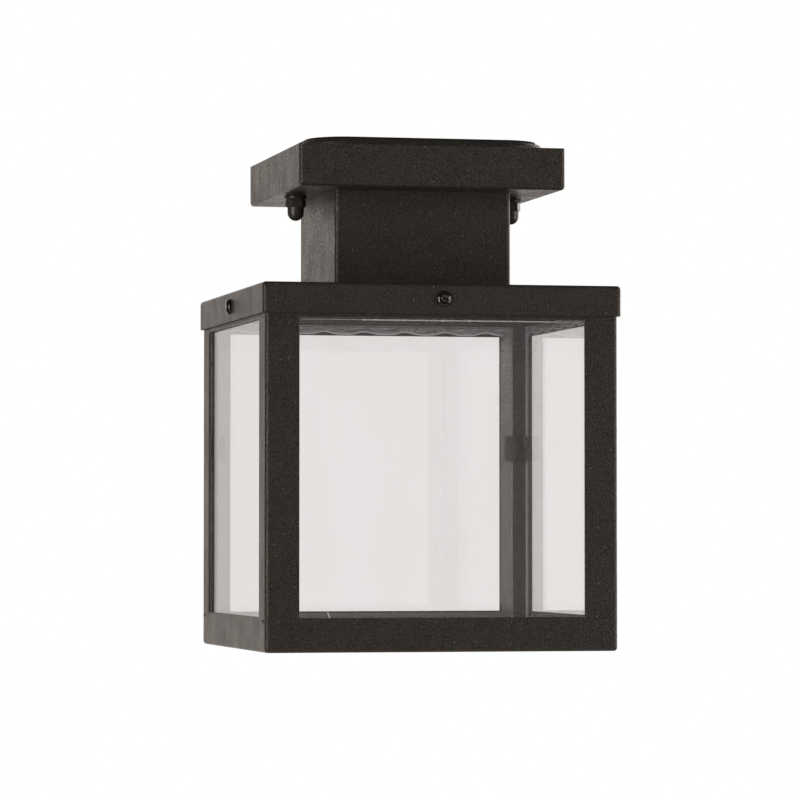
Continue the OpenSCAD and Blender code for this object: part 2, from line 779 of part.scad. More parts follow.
module terminal_screws() {
    low = z_block_way + block_way_r + slip;
    head = z_canopy_floor + block_h - block_rib_h;
    color("#b9b9b4") at_poles() for (y = [-1, 1])
        translate([0, block_mid + y * block_depth / 4, 0]) difference() {
            upright(block_screw_d / 2, low, head);
            translate([-block_screw_d, -slot_cut_w / 2, head - slot_cut_w])
                cube([2 * block_screw_d, slot_cut_w, slot_cut_w + cut]);
        }
}

module block_screws() {
    seat = z_canopy_floor + block_h - block_rib_h;
    color("#b9b9b4") at_block_screws() translate([0, 0, seat])
        pan_screw(block_screw_d, block_screw_head_d, block_screw_head_h,
            seat - z_canopy + screw_tail);
}

module earth_screw() {
    color("#c9a85a") translate([0, earth_y, z_canopy_floor])
        pan_screw(neck_screw_d, neck_head_d, neck_head_h, canopy_sheet + small_nut_h + screw_tail);
}

module earth_nut() {
    color("#8d8f91") translate([0, earth_y, z_canopy - small_nut_h])
        hex_nut(small_nut_af, small_nut_h, neck_screw_d + 2 * slip);
}

// Point at share t of a curve from a to b that leaves a along da and reaches b along db
function blend_point(a, da, b, db, t) =
    a * (1 - t) * (1 - t) * (1 - t) + 3 * (a + da) * t * (1 - t) * (1 - t)
    + 3 * (b - db) * t * t * (1 - t) + b * t * t * t;

// Rings of a round tube along a list of points, and the tube itself
function unit(v) = v / norm(v);
function heading(path, i) =
    unit(path[min(i + 1, len(path) - 1)] - path[max(i - 1, 0)]);
function ring(path, i, r, side) =
    let (ahead = heading(path, i), u = unit(cross(side, ahead)), v = cross(ahead, u))
    [for (k = [0:wire_sides - 1]) path[i] + r * (cos(360 * k / wire_sides) * u
        + sin(360 * k / wire_sides) * v)];

module tube_along(path, r, side) {
    last = len(path) - 1;
    points = [for (i = [0:last]) each ring(path, i, r, side)];
    faces = concat(
        [[for (k = [0:wire_sides - 1]) k]],
        [for (i = [0:last - 1], k = [0:wire_sides - 1]) let (n = (k + 1) % wire_sides)
            [i * wire_sides + k, (i + 1) * wire_sides + k, (i + 1) * wire_sides + n,
             i * wire_sides + n]],
        [[for (k = [wire_sides - 1:-1:0]) last * wire_sides + k]]);
    polyhedron(points, faces, convexity = 4);
}

// Wire from its clamp on the lampholder, up through the hollow tube and over into one pole
module holder_wire(side) {
    clamp = [side * clamp_at, 0, z_holder_seam + clamp_h - clamp_bite + slip];
    free = clamp + [0, 0, clamp_bite];
    tube = [side * wire_apart, 0, z_tube_low + tube_nut_h];
    out = [side * wire_apart, 0, z_tube_top];
    pole = [side * pole_pitch, block_front - wire_in, z_block_way];
    seat = [side * pole_pitch, block_front + wire_in, z_block_way];
    path = concat(
        [clamp],
        [for (i = [0:wire_steps - 1])
            blend_point(free, [0, 0, lead_clamp], tube, [0, 0, lead_tube], i / wire_steps)],
        [tube],
        [for (i = [0:2 * wire_steps - 1])
            blend_point(out, [0, 0, lead_out], pole, [0, lead_pole, 0],
                i / (2 * wire_steps))],
        [pole, seat]);
    tube_along(path, wire_r, [0, 1, 0.3]);
}

module live_wire() color("#7a4a2a") holder_wire(-1);
module neutral_wire() color("#3f6fa8") holder_wire(1);

// Earth wire from the middle pole, over the hollow tube and down to the earth screw's head
module earth_wire() {
    seat = [0, block_front + wire_in, z_block_way];
    pole = [0, block_front - wire_in, z_block_way];
    top = [0, 0, z_block_way + earth_rise];
    lug = [0, earth_y + neck_head_d / 2, z_canopy_floor + neck_head_h + wire_r];
    end = [0, earth_y, lug.z];
    path = concat(
        [seat],
        [for (i = [0:wire_steps - 1])
            blend_point(pole, [0, -lead_earth, 0], top, [0, -lead_earth, 0], i / wire_steps)],
        [for (i = [0:wire_steps])
            blend_point(top, [0, -lead_top, 0], lug, [0, -lead_lug, 0], i / wire_steps)],
        [end]);
    color("#6f9a3c") tube_along(path, wire_r, [1, 0, 0]);
}

ceiling_gasket();
ceiling_plate();
cable_bush();
hanging_studs();
canopy();
nut_washers();
cap_nuts();
neck_tube();
neck_top_screws();
neck_top_nuts();
neck_bottom_screws();
neck_bottom_nuts();
top_cap();
top_rail_frame();
post(0);  // back_right_post
post(90);  // back_left_post
post(180);  // front_left_post
post(270);  // front_right_post
bottom_rail_frame();
side_pane(0);  // right_pane
side_pane(90);  // back_pane
side_pane(180);  // left_pane
side_pane(270);  // front_pane
bottom_pane();
side_bed(0);  // right_glazing_bead
side_bed(90);  // back_glazing_bead
side_bed(180);  // left_glazing_bead
side_bed(270);  // front_glazing_bead
bottom_glazing_bead();
pane_tabs();
cage_screws();
cage_weld_nuts();
threaded_tube();
tube_nuts();
lampholder_cover();
lampholder_body();
holder_screws();
screw_shell();
centre_contact();
holder_clamps();
terminal_block();
terminal_screws();
block_screws();
earth_screw();
earth_nut();
live_wire();
neutral_wire();
earth_wire();
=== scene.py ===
"""Porch ceiling lantern, dressed for its picture.

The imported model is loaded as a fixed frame. Each sub-assembly of the lantern is a class that gives
the frame's nodes their finishes and builds the pieces that stand for the rest: the folded sheet
with its broken edges, the screws, the silicone, the lampholder. Everything is in metres with the
ceiling face at z = 0, +Z up and the lantern's front facing -Y.
"""

import json
import logging
import math
from dataclasses import dataclass, field, replace
from enum import Enum

import bmesh
import bpy
from mathutils import Matrix, Vector, noise

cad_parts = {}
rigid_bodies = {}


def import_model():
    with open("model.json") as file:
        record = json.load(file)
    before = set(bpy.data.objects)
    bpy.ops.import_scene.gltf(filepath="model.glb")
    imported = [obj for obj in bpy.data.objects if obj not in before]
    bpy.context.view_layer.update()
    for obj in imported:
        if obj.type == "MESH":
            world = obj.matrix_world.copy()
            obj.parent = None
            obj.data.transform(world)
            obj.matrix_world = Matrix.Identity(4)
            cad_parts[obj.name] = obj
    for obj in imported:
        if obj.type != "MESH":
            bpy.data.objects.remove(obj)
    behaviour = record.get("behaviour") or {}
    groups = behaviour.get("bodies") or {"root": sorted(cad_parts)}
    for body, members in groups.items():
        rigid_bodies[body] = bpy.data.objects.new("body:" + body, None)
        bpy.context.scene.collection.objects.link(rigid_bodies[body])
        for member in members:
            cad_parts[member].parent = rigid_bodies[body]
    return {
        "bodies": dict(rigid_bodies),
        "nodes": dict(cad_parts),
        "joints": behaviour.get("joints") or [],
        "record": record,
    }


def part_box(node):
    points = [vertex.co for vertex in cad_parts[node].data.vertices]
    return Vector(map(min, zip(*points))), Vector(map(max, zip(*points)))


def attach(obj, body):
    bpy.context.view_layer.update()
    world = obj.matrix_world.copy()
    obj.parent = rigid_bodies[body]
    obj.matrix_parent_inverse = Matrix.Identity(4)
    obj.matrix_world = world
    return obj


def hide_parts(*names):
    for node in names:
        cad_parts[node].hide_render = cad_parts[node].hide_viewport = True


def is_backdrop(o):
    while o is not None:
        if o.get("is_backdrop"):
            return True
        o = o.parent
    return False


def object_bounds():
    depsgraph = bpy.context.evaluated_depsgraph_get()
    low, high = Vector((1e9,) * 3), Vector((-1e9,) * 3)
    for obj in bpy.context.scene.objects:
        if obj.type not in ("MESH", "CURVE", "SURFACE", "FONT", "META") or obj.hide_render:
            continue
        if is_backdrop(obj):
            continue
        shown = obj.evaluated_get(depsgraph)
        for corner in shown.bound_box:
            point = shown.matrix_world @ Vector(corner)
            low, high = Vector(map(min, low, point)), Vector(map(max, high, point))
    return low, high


LOG = logging.getLogger("lantern")
MM = 0.001
ONE_POINT = 0.002 * MM  # vertices closer than this are one


class Side(Enum):
    """Sides of the cage, each with the turn in degrees that brings the right side to it."""

    RIGHT = 0
    BACK = 90
    LEFT = 180
    FRONT = 270

    def turn(self) -> Matrix:
        """Return the turn that brings the right side here."""
        return Matrix.Rotation(math.radians(self.value), 4, "Z")

    def face(self, out: float, level: float) -> Matrix:
        """Place a drawing of the side, seen from outside.

        Args:
            out: Distance of the drawing's plane from the lantern's axis.
            level: Height of the drawing's zero.

        Returns:
            The matrix that brings x along the side, y up and z out of it.
        """
        stand = Matrix.Rotation(math.pi / 2, 4, "Z") @ Matrix.Rotation(math.pi / 2, 4, "X")
        return self.turn() @ Matrix.Translation((out, 0.0, level)) @ stand


class Run(Enum):
    """Ways that a bead runs in the drawing of a side, each with the axis that its rings turn on."""

    SIDEWAYS = "Y"
    UPRIGHT = "X"


# ---------------------------------------------------------------- node and colour helpers


def linear(colour: str) -> tuple[float, float, float, float]:
    """Turn an sRGB hex colour into linear RGBA.

    Args:
        colour: The colour as "#rrggbb".

    Returns:
        Its linear red, green and blue, with an alpha of 1.
    """
    shares = (int(colour[i : i + 2], 16) / 255 for i in (1, 3, 5))
    return (*(s / 12.92 if s <= 0.04045 else ((s + 0.055) / 1.055) ** 2.4 for s in shares), 1.0)


def add_node(
    tree: bpy.types.NodeTree, kind: str, inputs: dict | None = None, **settings: object
) -> bpy.types.Node:
    """Add a node with its settings, its plain input values and its links.

    Args:
        tree: The node tree that gets the node.
        kind: The node's type name.
        inputs: Input name or number against a value, or against the output socket to link.
        settings: Properties of the node itself.

    Returns:
        The new node.
    """
    node = tree.nodes.new(kind)
    for name, value in settings.items():
        setattr(node, name, value)
    for key, value in (inputs or {}).items():
        if isinstance(value, bpy.types.NodeSocket):
            tree.links.new(value, node.inputs[key])
        else:
            node.inputs[key].default_value = value
    return node


def empty_tree(owner: bpy.types.Material | bpy.types.World) -> bpy.types.NodeTree:
    """Give a material or a world an empty node tree.

    Args:
        owner: The material or the world.

    Returns:
        Its tree.
    """
    owner.use_nodes = True
    owner.node_tree.nodes.clear()
    return owner.node_tree


def seen_share(tree: bpy.types.NodeTree) -> bpy.types.NodeSocket:
    """Tell the rays that see the studio, straight or through the glass, from its light.

    Args:
        tree: The tree that gets the nodes.

    Returns:
        A share that is 1 for the rays that see it.
    """
    path = add_node(tree, "ShaderNodeLightPath")
    seen = add_node(
        tree,
        "ShaderNodeMath",
        {0: path.outputs["Is Camera Ray"], 1: path.outputs["Is Transmission Ray"]},
        operation="MAXIMUM",
    )
    return seen.outputs[0]


# ---------------------------------------------------------------- finishes


@dataclass(frozen=True)
class Finish:
    """What a surface is made of and how it was made."""

    name: str
    slot: str

    def material(self) -> bpy.types.Material:
        """Return the finish's material, which is made when it is first asked for."""
        return bpy.data.materials.get(self.name) or self._make()

    def surface(self, tree: bpy.types.NodeTree) -> bpy.types.NodeSocket:
        """Build the shader in the tree and return its output socket."""
        raise NotImplementedError

    def _make(self) -> bpy.types.Material:
        """Make the material from the finish's own shader.

        Returns:
            The new material.
        """
        material = bpy.data.materials.new(self.name)
        tree = empty_tree(material)
        add_node(tree, "ShaderNodeOutputMaterial", {"Surface": self.surface(tree)})
        return material


@dataclass(frozen=True)
class PowderCoat(Finish):
    """Dark bronze polyester powder coat with a fine sanded texture, baked on folded steel.

    The metallic flakes give the eye a warm sheen at a glance, the fused grains break it up, and a
    few pale grains of dust are baked in. The real grains are finer than a pixel, so they are drawn
    as coarse as they need to be to show. `dark_to` and `pale_from` are levels of the grain's noise,
    `hollows` and `crests` are levels of the relief, and the dust's sizes are shares of its spacing.
    """

    dark: str = "#1d1a17"
    pale: str = "#564e47"
    dust: str = "#a39a90"
    edge_tint: tuple[float, float, float, float] = (1.0, 0.9, 0.82, 1.0)
    grain: float = 0.36 * MM
    dark_to: float = 0.31
    pale_from: float = 0.71
    peel: float = 0.65 * MM
    drift: float = 15.0 * MM
    waviness: float = 0.35
    relief: float = 0.3 * MM
    roughness: float = 0.31
    unevenness: float = 0.17
    hollows: float = 0.45
    crests: float = 0.9
    metallic: float = 0.2
    dust_spacing: float = 3.2 * MM
    dust_rim: float = 0.085
    dust_core: float = 0.05
    dust_free: float = 0.45

    def surface(self, tree: bpy.types.NodeTree) -> bpy.types.NodeSocket:
        """Build the coat: mottled colour, dust, uneven gloss and the grain's relief.

        Args:
            tree: The material's node tree.

        Returns:
            The shader's output.
        """
        place = add_node(tree, "ShaderNodeTexCoord").outputs["Object"]
        grain = add_node(
            tree, "ShaderNodeTexNoise", {"Vector": place, "Scale": 1 / self.grain, "Detail": 1.0}
        )
        spread = add_node(
            tree,
            "ShaderNodeMapRange",
            {"Value": grain.outputs[0], "From Min": self.dark_to, "From Max": self.pale_from},
        )
        colour = add_node(
            tree,
            "ShaderNodeMix",
            {0: spread.outputs[0], 6: linear(self.dark), 7: linear(self.pale)},
            data_type="RGBA",
        )
        cells = add_node(
            tree, "ShaderNodeTexVoronoi", {"Vector": place, "Scale": 1 / self.dust_spacing}
        )
        near = add_node(
            tree,
            "ShaderNodeMapRange",
            {
                "Value": cells.outputs["Distance"],
                "From Min": self.dust_rim,
                "From Max": self.dust_core,
            },
        )
        chosen = add_node(tree, "ShaderNodeSeparateColor", {0: cells.outputs["Color"]})
        few = add_node(
            tree,
            "ShaderNodeMath",
            {0: chosen.outputs[0], 1: self.dust_free},
            operation="GREATER_THAN",
        )
        dusty = add_node(
            tree, "ShaderNodeMath", {0: near.outputs[0], 1: few.outputs[0]}, operation="MULTIPLY"
        )
        dusted = add_node(
            tree,
            "ShaderNodeMix",
            {0: dusty.outputs[0], 6: colour.outputs[2], 7: linear(self.dust)},
            data_type="RGBA",
        )
        peel = add_node(
            tree,
            "ShaderNodeTexNoise",
            {"Vector": place, "Scale": 1 / self.peel, "Detail": 2.0, "Roughness": 0.6},
        )
        drift = add_node(tree, "ShaderNodeTexNoise", {"Vector": place, "Scale": 1 / self.drift})
        height = add_node(
            tree,
            "ShaderNodeMath",
            {0: drift.outputs[0], 1: self.waviness, 2: peel.outputs[0]},
            operation="MULTIPLY_ADD",
        )
        relief = add_node(
            tree, "ShaderNodeBump", {"Height": height.outputs[0], "Distance": self.relief}
        )
        gloss = add_node(
            tree,
            "ShaderNodeMapRange",
            {
                "Value": height.outputs[0],
                "From Min": self.hollows,
                "From Max": self.crests,
                "To Min": self.roughness - self.unevenness,
                "To Max": self.roughness + self.unevenness,
            },
        )
        shader = add_node(
            tree,
            "ShaderNodeBsdfPrincipled",
            {
                "Base Color": dusted.outputs[2],
                "Roughness": gloss.outputs[0],
                "Metallic": self.metallic,
                "IOR": 1.5,
                "Specular Tint": self.edge_tint,
                "Normal": relief.outputs[0],
            },
        )
        return shader.outputs[0]


@dataclass(frozen=True)
class Mottled(Finish):
    """A plain finish whose colour and gloss drift a little, as any made surface's do.

    It serves the small parts: foam, rubber, plating, porcelain, brass and plastics, each with its
    own colours, grain, gloss and metal share. A thread pitch rules the relief along Z instead.
    """

    dark: str = "#808080"
    pale: str = "#909090"
    grain: float = 4.0 * MM
    roughness: float = 0.5
    drift: float = 0.06
    metallic: float = 0.0
    relief: float = 0.0
    coat: float = 0.0
    pitch: float = 0.0

    def surface(self, tree: bpy.types.NodeTree) -> bpy.types.NodeSocket:
        """Build the finish from one noise that drives colour, gloss and relief.

        Args:
            tree: The material's node tree.

        Returns:
            The shader's output.
        """
        place = add_node(tree, "ShaderNodeTexCoord").outputs["Object"]
        grain = add_node(
            tree, "ShaderNodeTexNoise", {"Vector": place, "Scale": 1 / self.grain, "Detail": 4.0}
        )
        height = grain.outputs[0]
        if self.pitch:
            # bands of scale s stand pi / 10 / s apart
            height = add_node(
                tree,
                "ShaderNodeTexWave",
                {"Vector": place, "Scale": math.pi / 10 / self.pitch},
                bands_direction="Z",
            ).outputs["Fac"]
        colour = add_node(
            tree,
            "ShaderNodeMix",
            {0: grain.outputs[0], 6: linear(self.dark), 7: linear(self.pale)},
            data_type="RGBA",
        )
        gloss = add_node(
            tree,
            "ShaderNodeMapRange",
            {
                "Value": grain.outputs[0],
                "To Min": self.roughness - self.drift,
                "To Max": self.roughness + self.drift,
            },
        )
        relief = add_node(tree, "ShaderNodeBump", {"Height": height, "Distance": self.relief})
        shader = add_node(
            tree,
            "ShaderNodeBsdfPrincipled",
            {
                "Base Color": colour.outputs[2],
                "Roughness": gloss.outputs[0],
                "Metallic": self.metallic,
                "Coat Weight": self.coat,
                "Normal": relief.outputs[0],
            },
        )
        return shader.outputs[0]


@dataclass(frozen=True)
class BeddedSilicone(Finish):
    """Cured silicone pressed flat between glass and steel.

    Where it wets the steel the dark coat shows through it, and where air is caught it is pale, so
    the eye sees a grey band with streaks along it. The pale streaks are full above `pale_above` and
    fall to `pale_share_below` of their strength below `pale_fades_below`, so the bed is paler
    towards its top. `wet_to` and `dry_from` are levels of the summed noises.
    """

    wet: str = "#625f5b"
    dry: str = "#c8c9ca"
    smear: float = 0.25
    blotch: float = 1.3 * MM
    fleck: float = 0.55 * MM
    roughness: float = 0.4
    relief: float = 0.03 * MM
    pale_above: float = -0.084
    pale_fades_below: float = -0.13
    pale_share_below: float = 0.12
    wet_to: float = 0.75
    dry_from: float = 1.4

    def surface(self, tree: bpy.types.NodeTree) -> bpy.types.NodeSocket:
        """Build the silicone: wetted ground with pale streaks and flecks, fewer lower down.

        Args:
            tree: The material's node tree.

        Returns:
            The shader's output.
        """
        here = add_node(tree, "ShaderNodeTexCoord").outputs["Object"]
        axes = add_node(tree, "ShaderNodeSeparateXYZ", {0: here})
        spread = (self.smear, self.smear, 1.0)
        place = add_node(tree, "ShaderNodeMapping", {"Vector": here, "Scale": spread}).outputs[0]
        # the pale streaks are full at the top and fade lower down
        height = add_node(
            tree,
            "ShaderNodeMapRange",
            {
                "Value": axes.outputs["Z"],
                "From Min": self.pale_fades_below,
                "From Max": self.pale_above,
                "To Min": self.pale_share_below,
                "To Max": 1.0,
            },
        )
        blotch = add_node(
            tree, "ShaderNodeTexNoise", {"Vector": place, "Scale": 1 / self.blotch, "Detail": 3.0}
        )
        fleck = add_node(
            tree, "ShaderNodeTexNoise", {"Vector": place, "Scale": 1 / self.fleck, "Detail": 2.0}
        )
        both = add_node(
            tree, "ShaderNodeMath", {0: blotch.outputs[0], 1: fleck.outputs[0]}, operation="ADD"
        )
        share = add_node(
            tree,
            "ShaderNodeMapRange",
            {"Value": both.outputs[0], "From Min": self.wet_to, "From Max": self.dry_from},
        )
        air = add_node(
            tree,
            "ShaderNodeMath",
            {0: share.outputs[0], 1: height.outputs[0]},
            operation="MULTIPLY",
        )
        colour = add_node(
            tree,
            "ShaderNodeMix",
            {0: air.outputs[0], 6: linear(self.wet), 7: linear(self.dry)},
            data_type="RGBA",
        )
        relief = add_node(
            tree, "ShaderNodeBump", {"Height": fleck.outputs[0], "Distance": self.relief}
        )
        shader = add_node(
            tree,
            "ShaderNodeBsdfPrincipled",
            {
                "Base Color": colour.outputs[2],
                "Roughness": self.roughness,
                "IOR": 1.41,
                "Normal": relief.outputs[0],
            },
        )
        return shader.outputs[0]


@dataclass(frozen=True)
class FloatGlass(Finish):
    """Clear float glass, 3 mm thick, with its edges ground by hand.

    The faces are flat and clear with a trace of wiping marks, and the ground edge is frosted. Past
    `half` of its size from its `middle` the pane is ground.
    """

    clear: str = "#f7f5f5"
    wiped: str = "#f1efee"
    let_through: str = "#eeedec"
    streak: float = 26.0 * MM
    stretch: float = 0.4
    middle: tuple[float, float, float] = (0.0, 0.0, 0.0)
    half: tuple[float, float, float] = (1.0, 1.0, 1.0)
    frost: float = 0.35

    def surface(self, tree: bpy.types.NodeTree) -> bpy.types.NodeSocket:
        """Build the glass, with frosted edges, and let the lamps' rays straight through.

        Args:
            tree: The material's node tree.

        Returns:
            The shader's output.
        """
        place = add_node(tree, "ShaderNodeTexCoord").outputs["Object"]
        upright = (1.0, 1.0, self.stretch)
        along = add_node(tree, "ShaderNodeMapping", {"Vector": place, "Scale": upright})
        marks = add_node(
            tree,
            "ShaderNodeTexNoise",
            {"Vector": along.outputs[0], "Scale": 1 / self.streak, "Detail": 5.0},
        )
        tint_and_painted_light = add_node(
            tree,
            "ShaderNodeMix",
            {0: marks.outputs[0], 6: linear(self.clear), 7: linear(self.wiped)},
            data_type="RGBA",
        )
        out = add_node(
            tree, "ShaderNodeVectorMath", {0: place, 1: self.middle}, operation="SUBTRACT"
        )
        away = add_node(tree, "ShaderNodeVectorMath", {0: out.outputs[0]}, operation="ABSOLUTE")
        past = add_node(
            tree, "ShaderNodeVectorMath", {0: away.outputs[0], 1: self.half}, operation="SUBTRACT"
        )
        axes = add_node(tree, "ShaderNodeSeparateXYZ", {0: past.outputs[0]})
        widest = add_node(
            tree, "ShaderNodeMath", {0: axes.outputs[0], 1: axes.outputs[1]}, operation="MAXIMUM"
        )
        edge = add_node(
            tree, "ShaderNodeMath", {0: widest.outputs[0], 1: axes.outputs[2]}, operation="MAXIMUM"
        )
        ground = add_node(
            tree, "ShaderNodeMath", {0: edge.outputs[0], 1: 0.0}, operation="GREATER_THAN"
        )
        frosted = add_node(
            tree, "ShaderNodeMath", {0: ground.outputs[0], 1: self.frost}, operation="MULTIPLY"
        )
        glass = add_node(
            tree,
            "ShaderNodeBsdfPrincipled",
            {
                "Base Color": tint_and_painted_light.outputs[2],
                "Roughness": frosted.outputs[0],
                "IOR": 1.5,
                "Transmission Weight": 1.0,
            },
        )
        path = add_node(tree, "ShaderNodeLightPath")
        clear = add_node(tree, "ShaderNodeBsdfTransparent", {"Color": linear(self.let_through)})
        mixed = add_node(
            tree,
            "ShaderNodeMixShader",
            {0: path.outputs["Is Shadow Ray"], 1: glass.outputs[0], 2: clear.outputs[0]},
        )
        return mixed.outputs[0]


@dataclass(frozen=True)
class PaleFloor(Finish):
    """Matt white paint.

    It is lit from within wherever it is seen, so the eye takes it for the backdrop's white, and
    throws only the light of plain paint at the lantern.
    """

    paint: str = "#f4f4f3"
    white: str = "#fbfaf9"
    glow: float = 0.75

    def surface(self, tree: bpy.types.NodeTree) -> bpy.types.NodeSocket:
        """Build the paint, and the glow for the rays that see it.

        Args:
            tree: The material's node tree.

        Returns:
            The shader's output.
        """
        paint = add_node(tree, "ShaderNodeBsdfPrincipled", {"Base Color": linear(self.paint)})
        shine = add_node(tree, "ShaderNodeEmission", {"Color": linear(self.white)})
        share = add_node(
            tree, "ShaderNodeMath", {0: seen_share(tree), 1: self.glow}, operation="MULTIPLY"
        )
        mixed = add_node(
            tree,
            "ShaderNodeMixShader",
            {0: share.outputs[0], 1: paint.outputs[0], 2: shine.outputs[0]},
        )
        return mixed.outputs[0]


class Finishes:
    """The finishes of the lantern's pieces and of the floor.

    A mottled one is written as its name, slot, dark and pale colour and grain, and then its
    roughness, drift and metal share where they differ from the plain ones.
    """

    powder = PowderCoat("dark bronze powder coat", "powder_coat")
    # cut through its cells, so the eye sees a flat black without a shine
    foam = Mottled(
        "closed-cell foam", "foam", "#181716", "#2a2725", 0.7 * MM, 0.85, relief=0.12 * MM
    )
    # pressed in a smooth mould: black with a broad, weak shine
    rubber = Mottled("moulded rubber", "black_rubber", "#141414", "#1e1e1e", 5 * MM, 0.55)
    # plated over a polished head, so the crown shows small, sharp highlights
    black_zinc = Mottled(
        "glossy black zinc plating",
        "black_hardware",
        "#393530",
        "#4b4640",
        1.5 * MM,
        0.17,
        0.05,
        0.95,
        coat=0.5,
    )
    # turned and tumbled, then blackened: a brownish black with one soft glint on each facet
    nut_black = Mottled(
        "blackened cap nut",
        "black_hardware",
        "#3b352e",
        "#554c43",
        1.2 * MM,
        0.36,
        metallic=0.3,
        relief=0.01 * MM,
    )
    # thin plating over cut steel: a clouded silver
    zinc = Mottled("bright zinc plating", "zinc", "#9c9d9e", "#b9babb", 2 * MM, 0.3, 0.08, 1.0)
    # the same with the fine lines of a rolled thread
    zinc_thread = replace(zinc, name="zinc plated thread", relief=0.4 * MM, pitch=0.8 * MM)
    # glazed and fired: warm white under a wet-looking layer
    porcelain = Mottled(
        "glazed porcelain", "porcelain", "#dcd9d2", "#e6e4de", 12 * MM, 0.22, 0.03, coat=0.5
    )
    # pressed from bright sheet: yellow metal that has gone a little dull in patches
    brass = Mottled("pressed brass", "brass", "#b8934a", "#cdae68", 3 * MM, 0.27, 0.07, 1.0)
    # moulded, milky white with a satin face
    nylon = Mottled("moulded nylon", "white_plastic", "#e6e4de", "#efeee9", 8 * MM, 0.38)
    # extruded over the wire: plain colours with an even, low shine
    brown = Mottled("brown wire sleeve", "brown_sleeve", "#5f3a20", "#6d4427", 3 * MM, 0.45)
    blue = Mottled("blue wire sleeve", "blue_sleeve", "#2f5f9e", "#3a6cab", 3 * MM, 0.45)
    green = Mottled("green wire sleeve", "green_sleeve", "#6f9a3c", "#7da648", 3 * MM, 0.45)
    silicone = BeddedSilicone("bedded silicone", "silicone")
    # cured in the open: smooth, with a wet-looking top. Its pale colour is partly the silicone's own
    # and partly a painted highlight, the light along its rounded lip
    skin = Mottled(
        "silicone skin",
        "silicone",
        "#bfc3c9",
        "#e6e8ec",
        0.9 * MM,
        0.3,
        relief=0.05 * MM,
        coat=0.3,
    )
    # the same where it thins out and the coat shows through. Its pale colour is partly painted
    # highlight, the light along the line's lower lip
    squeezed = replace(skin, name="squeezed silicone", dark="#a59f99", pale="#efeae4")
    floor = PaleFloor("pale floor", "floor")


# ---------------------------------------------------------------- pieces


def add_object(name: str, data: bpy.types.ID) -> bpy.types.Object:
    """Add an object to the scene.

    Args:
        name: Its name.
        data: Its mesh, camera or lamp.

    Returns:
        The new object.
    """
    made = bpy.data.objects.new(name, data)
    bpy.context.scene.collection.objects.link(made)
    return made


def add_shape(name: str, shape: bmesh.types.BMesh, finish: Finish) -> bpy.types.Object:
    """Add an object of a finished bmesh.

    Args:
        name: Its name.
        shape: Its mesh. It is freed.
        finish: Its finish.

    Returns:
        The new object.
    """
    mesh = bpy.data.meshes.new(name)
    shape.to_mesh(mesh)
    shape.free()
    mesh.materials.append(finish.material())
    return add_object(name, mesh)


def add_piece(
    name: str,
    shape: bmesh.types.BMesh,
    finish: Finish,
    stands_for: tuple[str, ...] = (),
    sharp: float = 32.0,
) -> bpy.types.Object:
    """Make an object of a finished bmesh, dress it and let it ride on the lantern.

    Args:
        name: The piece's name.
        shape: Its mesh, in the lantern's own place. It is freed.
        finish: Its finish.
        stands_for: The frame's nodes that it replaces.
        sharp: The angle in degrees from which an edge stays sharp.

    Returns:
        The new object.
    """
    piece = add_shape(name, shape, finish)
    mesh = piece.data
    mesh.polygons.foreach_set("use_smooth", [True] * len(mesh.polygons))
    mesh.set_sharp_from_angle(angle=math.radians(sharp))
    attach(piece, "root")
    if stands_for:
        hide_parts(*stands_for)
    LOG.info("piece %s: %d faces", name, len(mesh.polygons))
    return piece


def dress(frame: dict, finish: Finish, *nodes: str) -> None:
    """Give nodes of the frame a finish.

    Args:
        frame: The loaded frame.
        finish: The finish.
        nodes: The nodes' names.
    """
    for node in nodes:
        for slot in frame["nodes"][node].material_slots:
            slot.material = finish.material()
        LOG.info("node %s: %s", node, finish.name)


def copy_shape(frame: dict, node: str) -> bmesh.types.BMesh:
    """Copy a node's mesh out of the frame.

    Args:
        frame: The loaded frame.
        node: The node's name.

    Returns:
        The copy, with its corners merged.
    """
    shape = bmesh.new()
    shape.from_mesh(frame["nodes"][node].data)
    bmesh.ops.remove_doubles(shape, verts=shape.verts, dist=ONE_POINT)
    return shape


def spin_outline(
    shape: bmesh.types.BMesh,
    outline: list[tuple[float, float]],
    around: int,
    turns: int = 1,
    climb: float = 0.0,
) -> None:
    """Turn an outline about the Z axis.

    Args:
        shape: The mesh that gets the surface.
        outline: The outline's radii and heights.
        around: The steps in a turn.
        turns: How many turns it makes.
        climb: How far it rises in each turn.
    """
    verts = [shape.verts.new((r, 0.0, z)) for r, z in outline]
    edges = [shape.edges.new(pair) for pair in zip(verts, verts[1:])]
    bmesh.ops.spin(
        shape,
        geom=[*verts, *edges],
        cent=(0.0, 0.0, 0.0),
        axis=(0.0, 0.0, 1.0),
        dvec=(0.0, 0.0, climb / around),
        angle=math.tau * turns,
        steps=around * turns,
        use_merge=not climb,
    )


@dataclass
class BrokenEdges:
    """Parts whose sharp edges are broken, as a file, a mould or a tumbling barrel leaves them."""

    frame: dict
    edge: float = 0.18 * MM
    flat_angle: float = math.radians(0.6)
    fold_angle: float = math.radians(28)

    def dress(self, finish: Finish, *nodes: str) -> None:
        """Stand a copy with broken edges in for each node.

        Args:
            finish: The finish of the copies.
            nodes: The nodes' names.
        """
        for node in nodes:
            shape = copy_shape(self.frame, node)
            bmesh.ops.dissolve_limit(
                shape, angle_limit=self.flat_angle, verts=shape.verts, edges=shape.edges
            )
            sharp = [
                e
                for e in shape.edges
                if e.is_manifold and e.calc_face_angle(0.0) > self.fold_angle
            ]
            bmesh.ops.bevel(
                shape,
                geom=sharp,
                offset=self.edge,
                affect="EDGES",
                segments=2,
                profile=0.5,
                material=-1,
                clamp_overlap=True,
            )
            piece = add_piece(f"{node}_finished", shape, finish, (node,))
            even = piece.modifiers.new("even shading", "WEIGHTED_NORMAL")
            even.keep_sharp = True


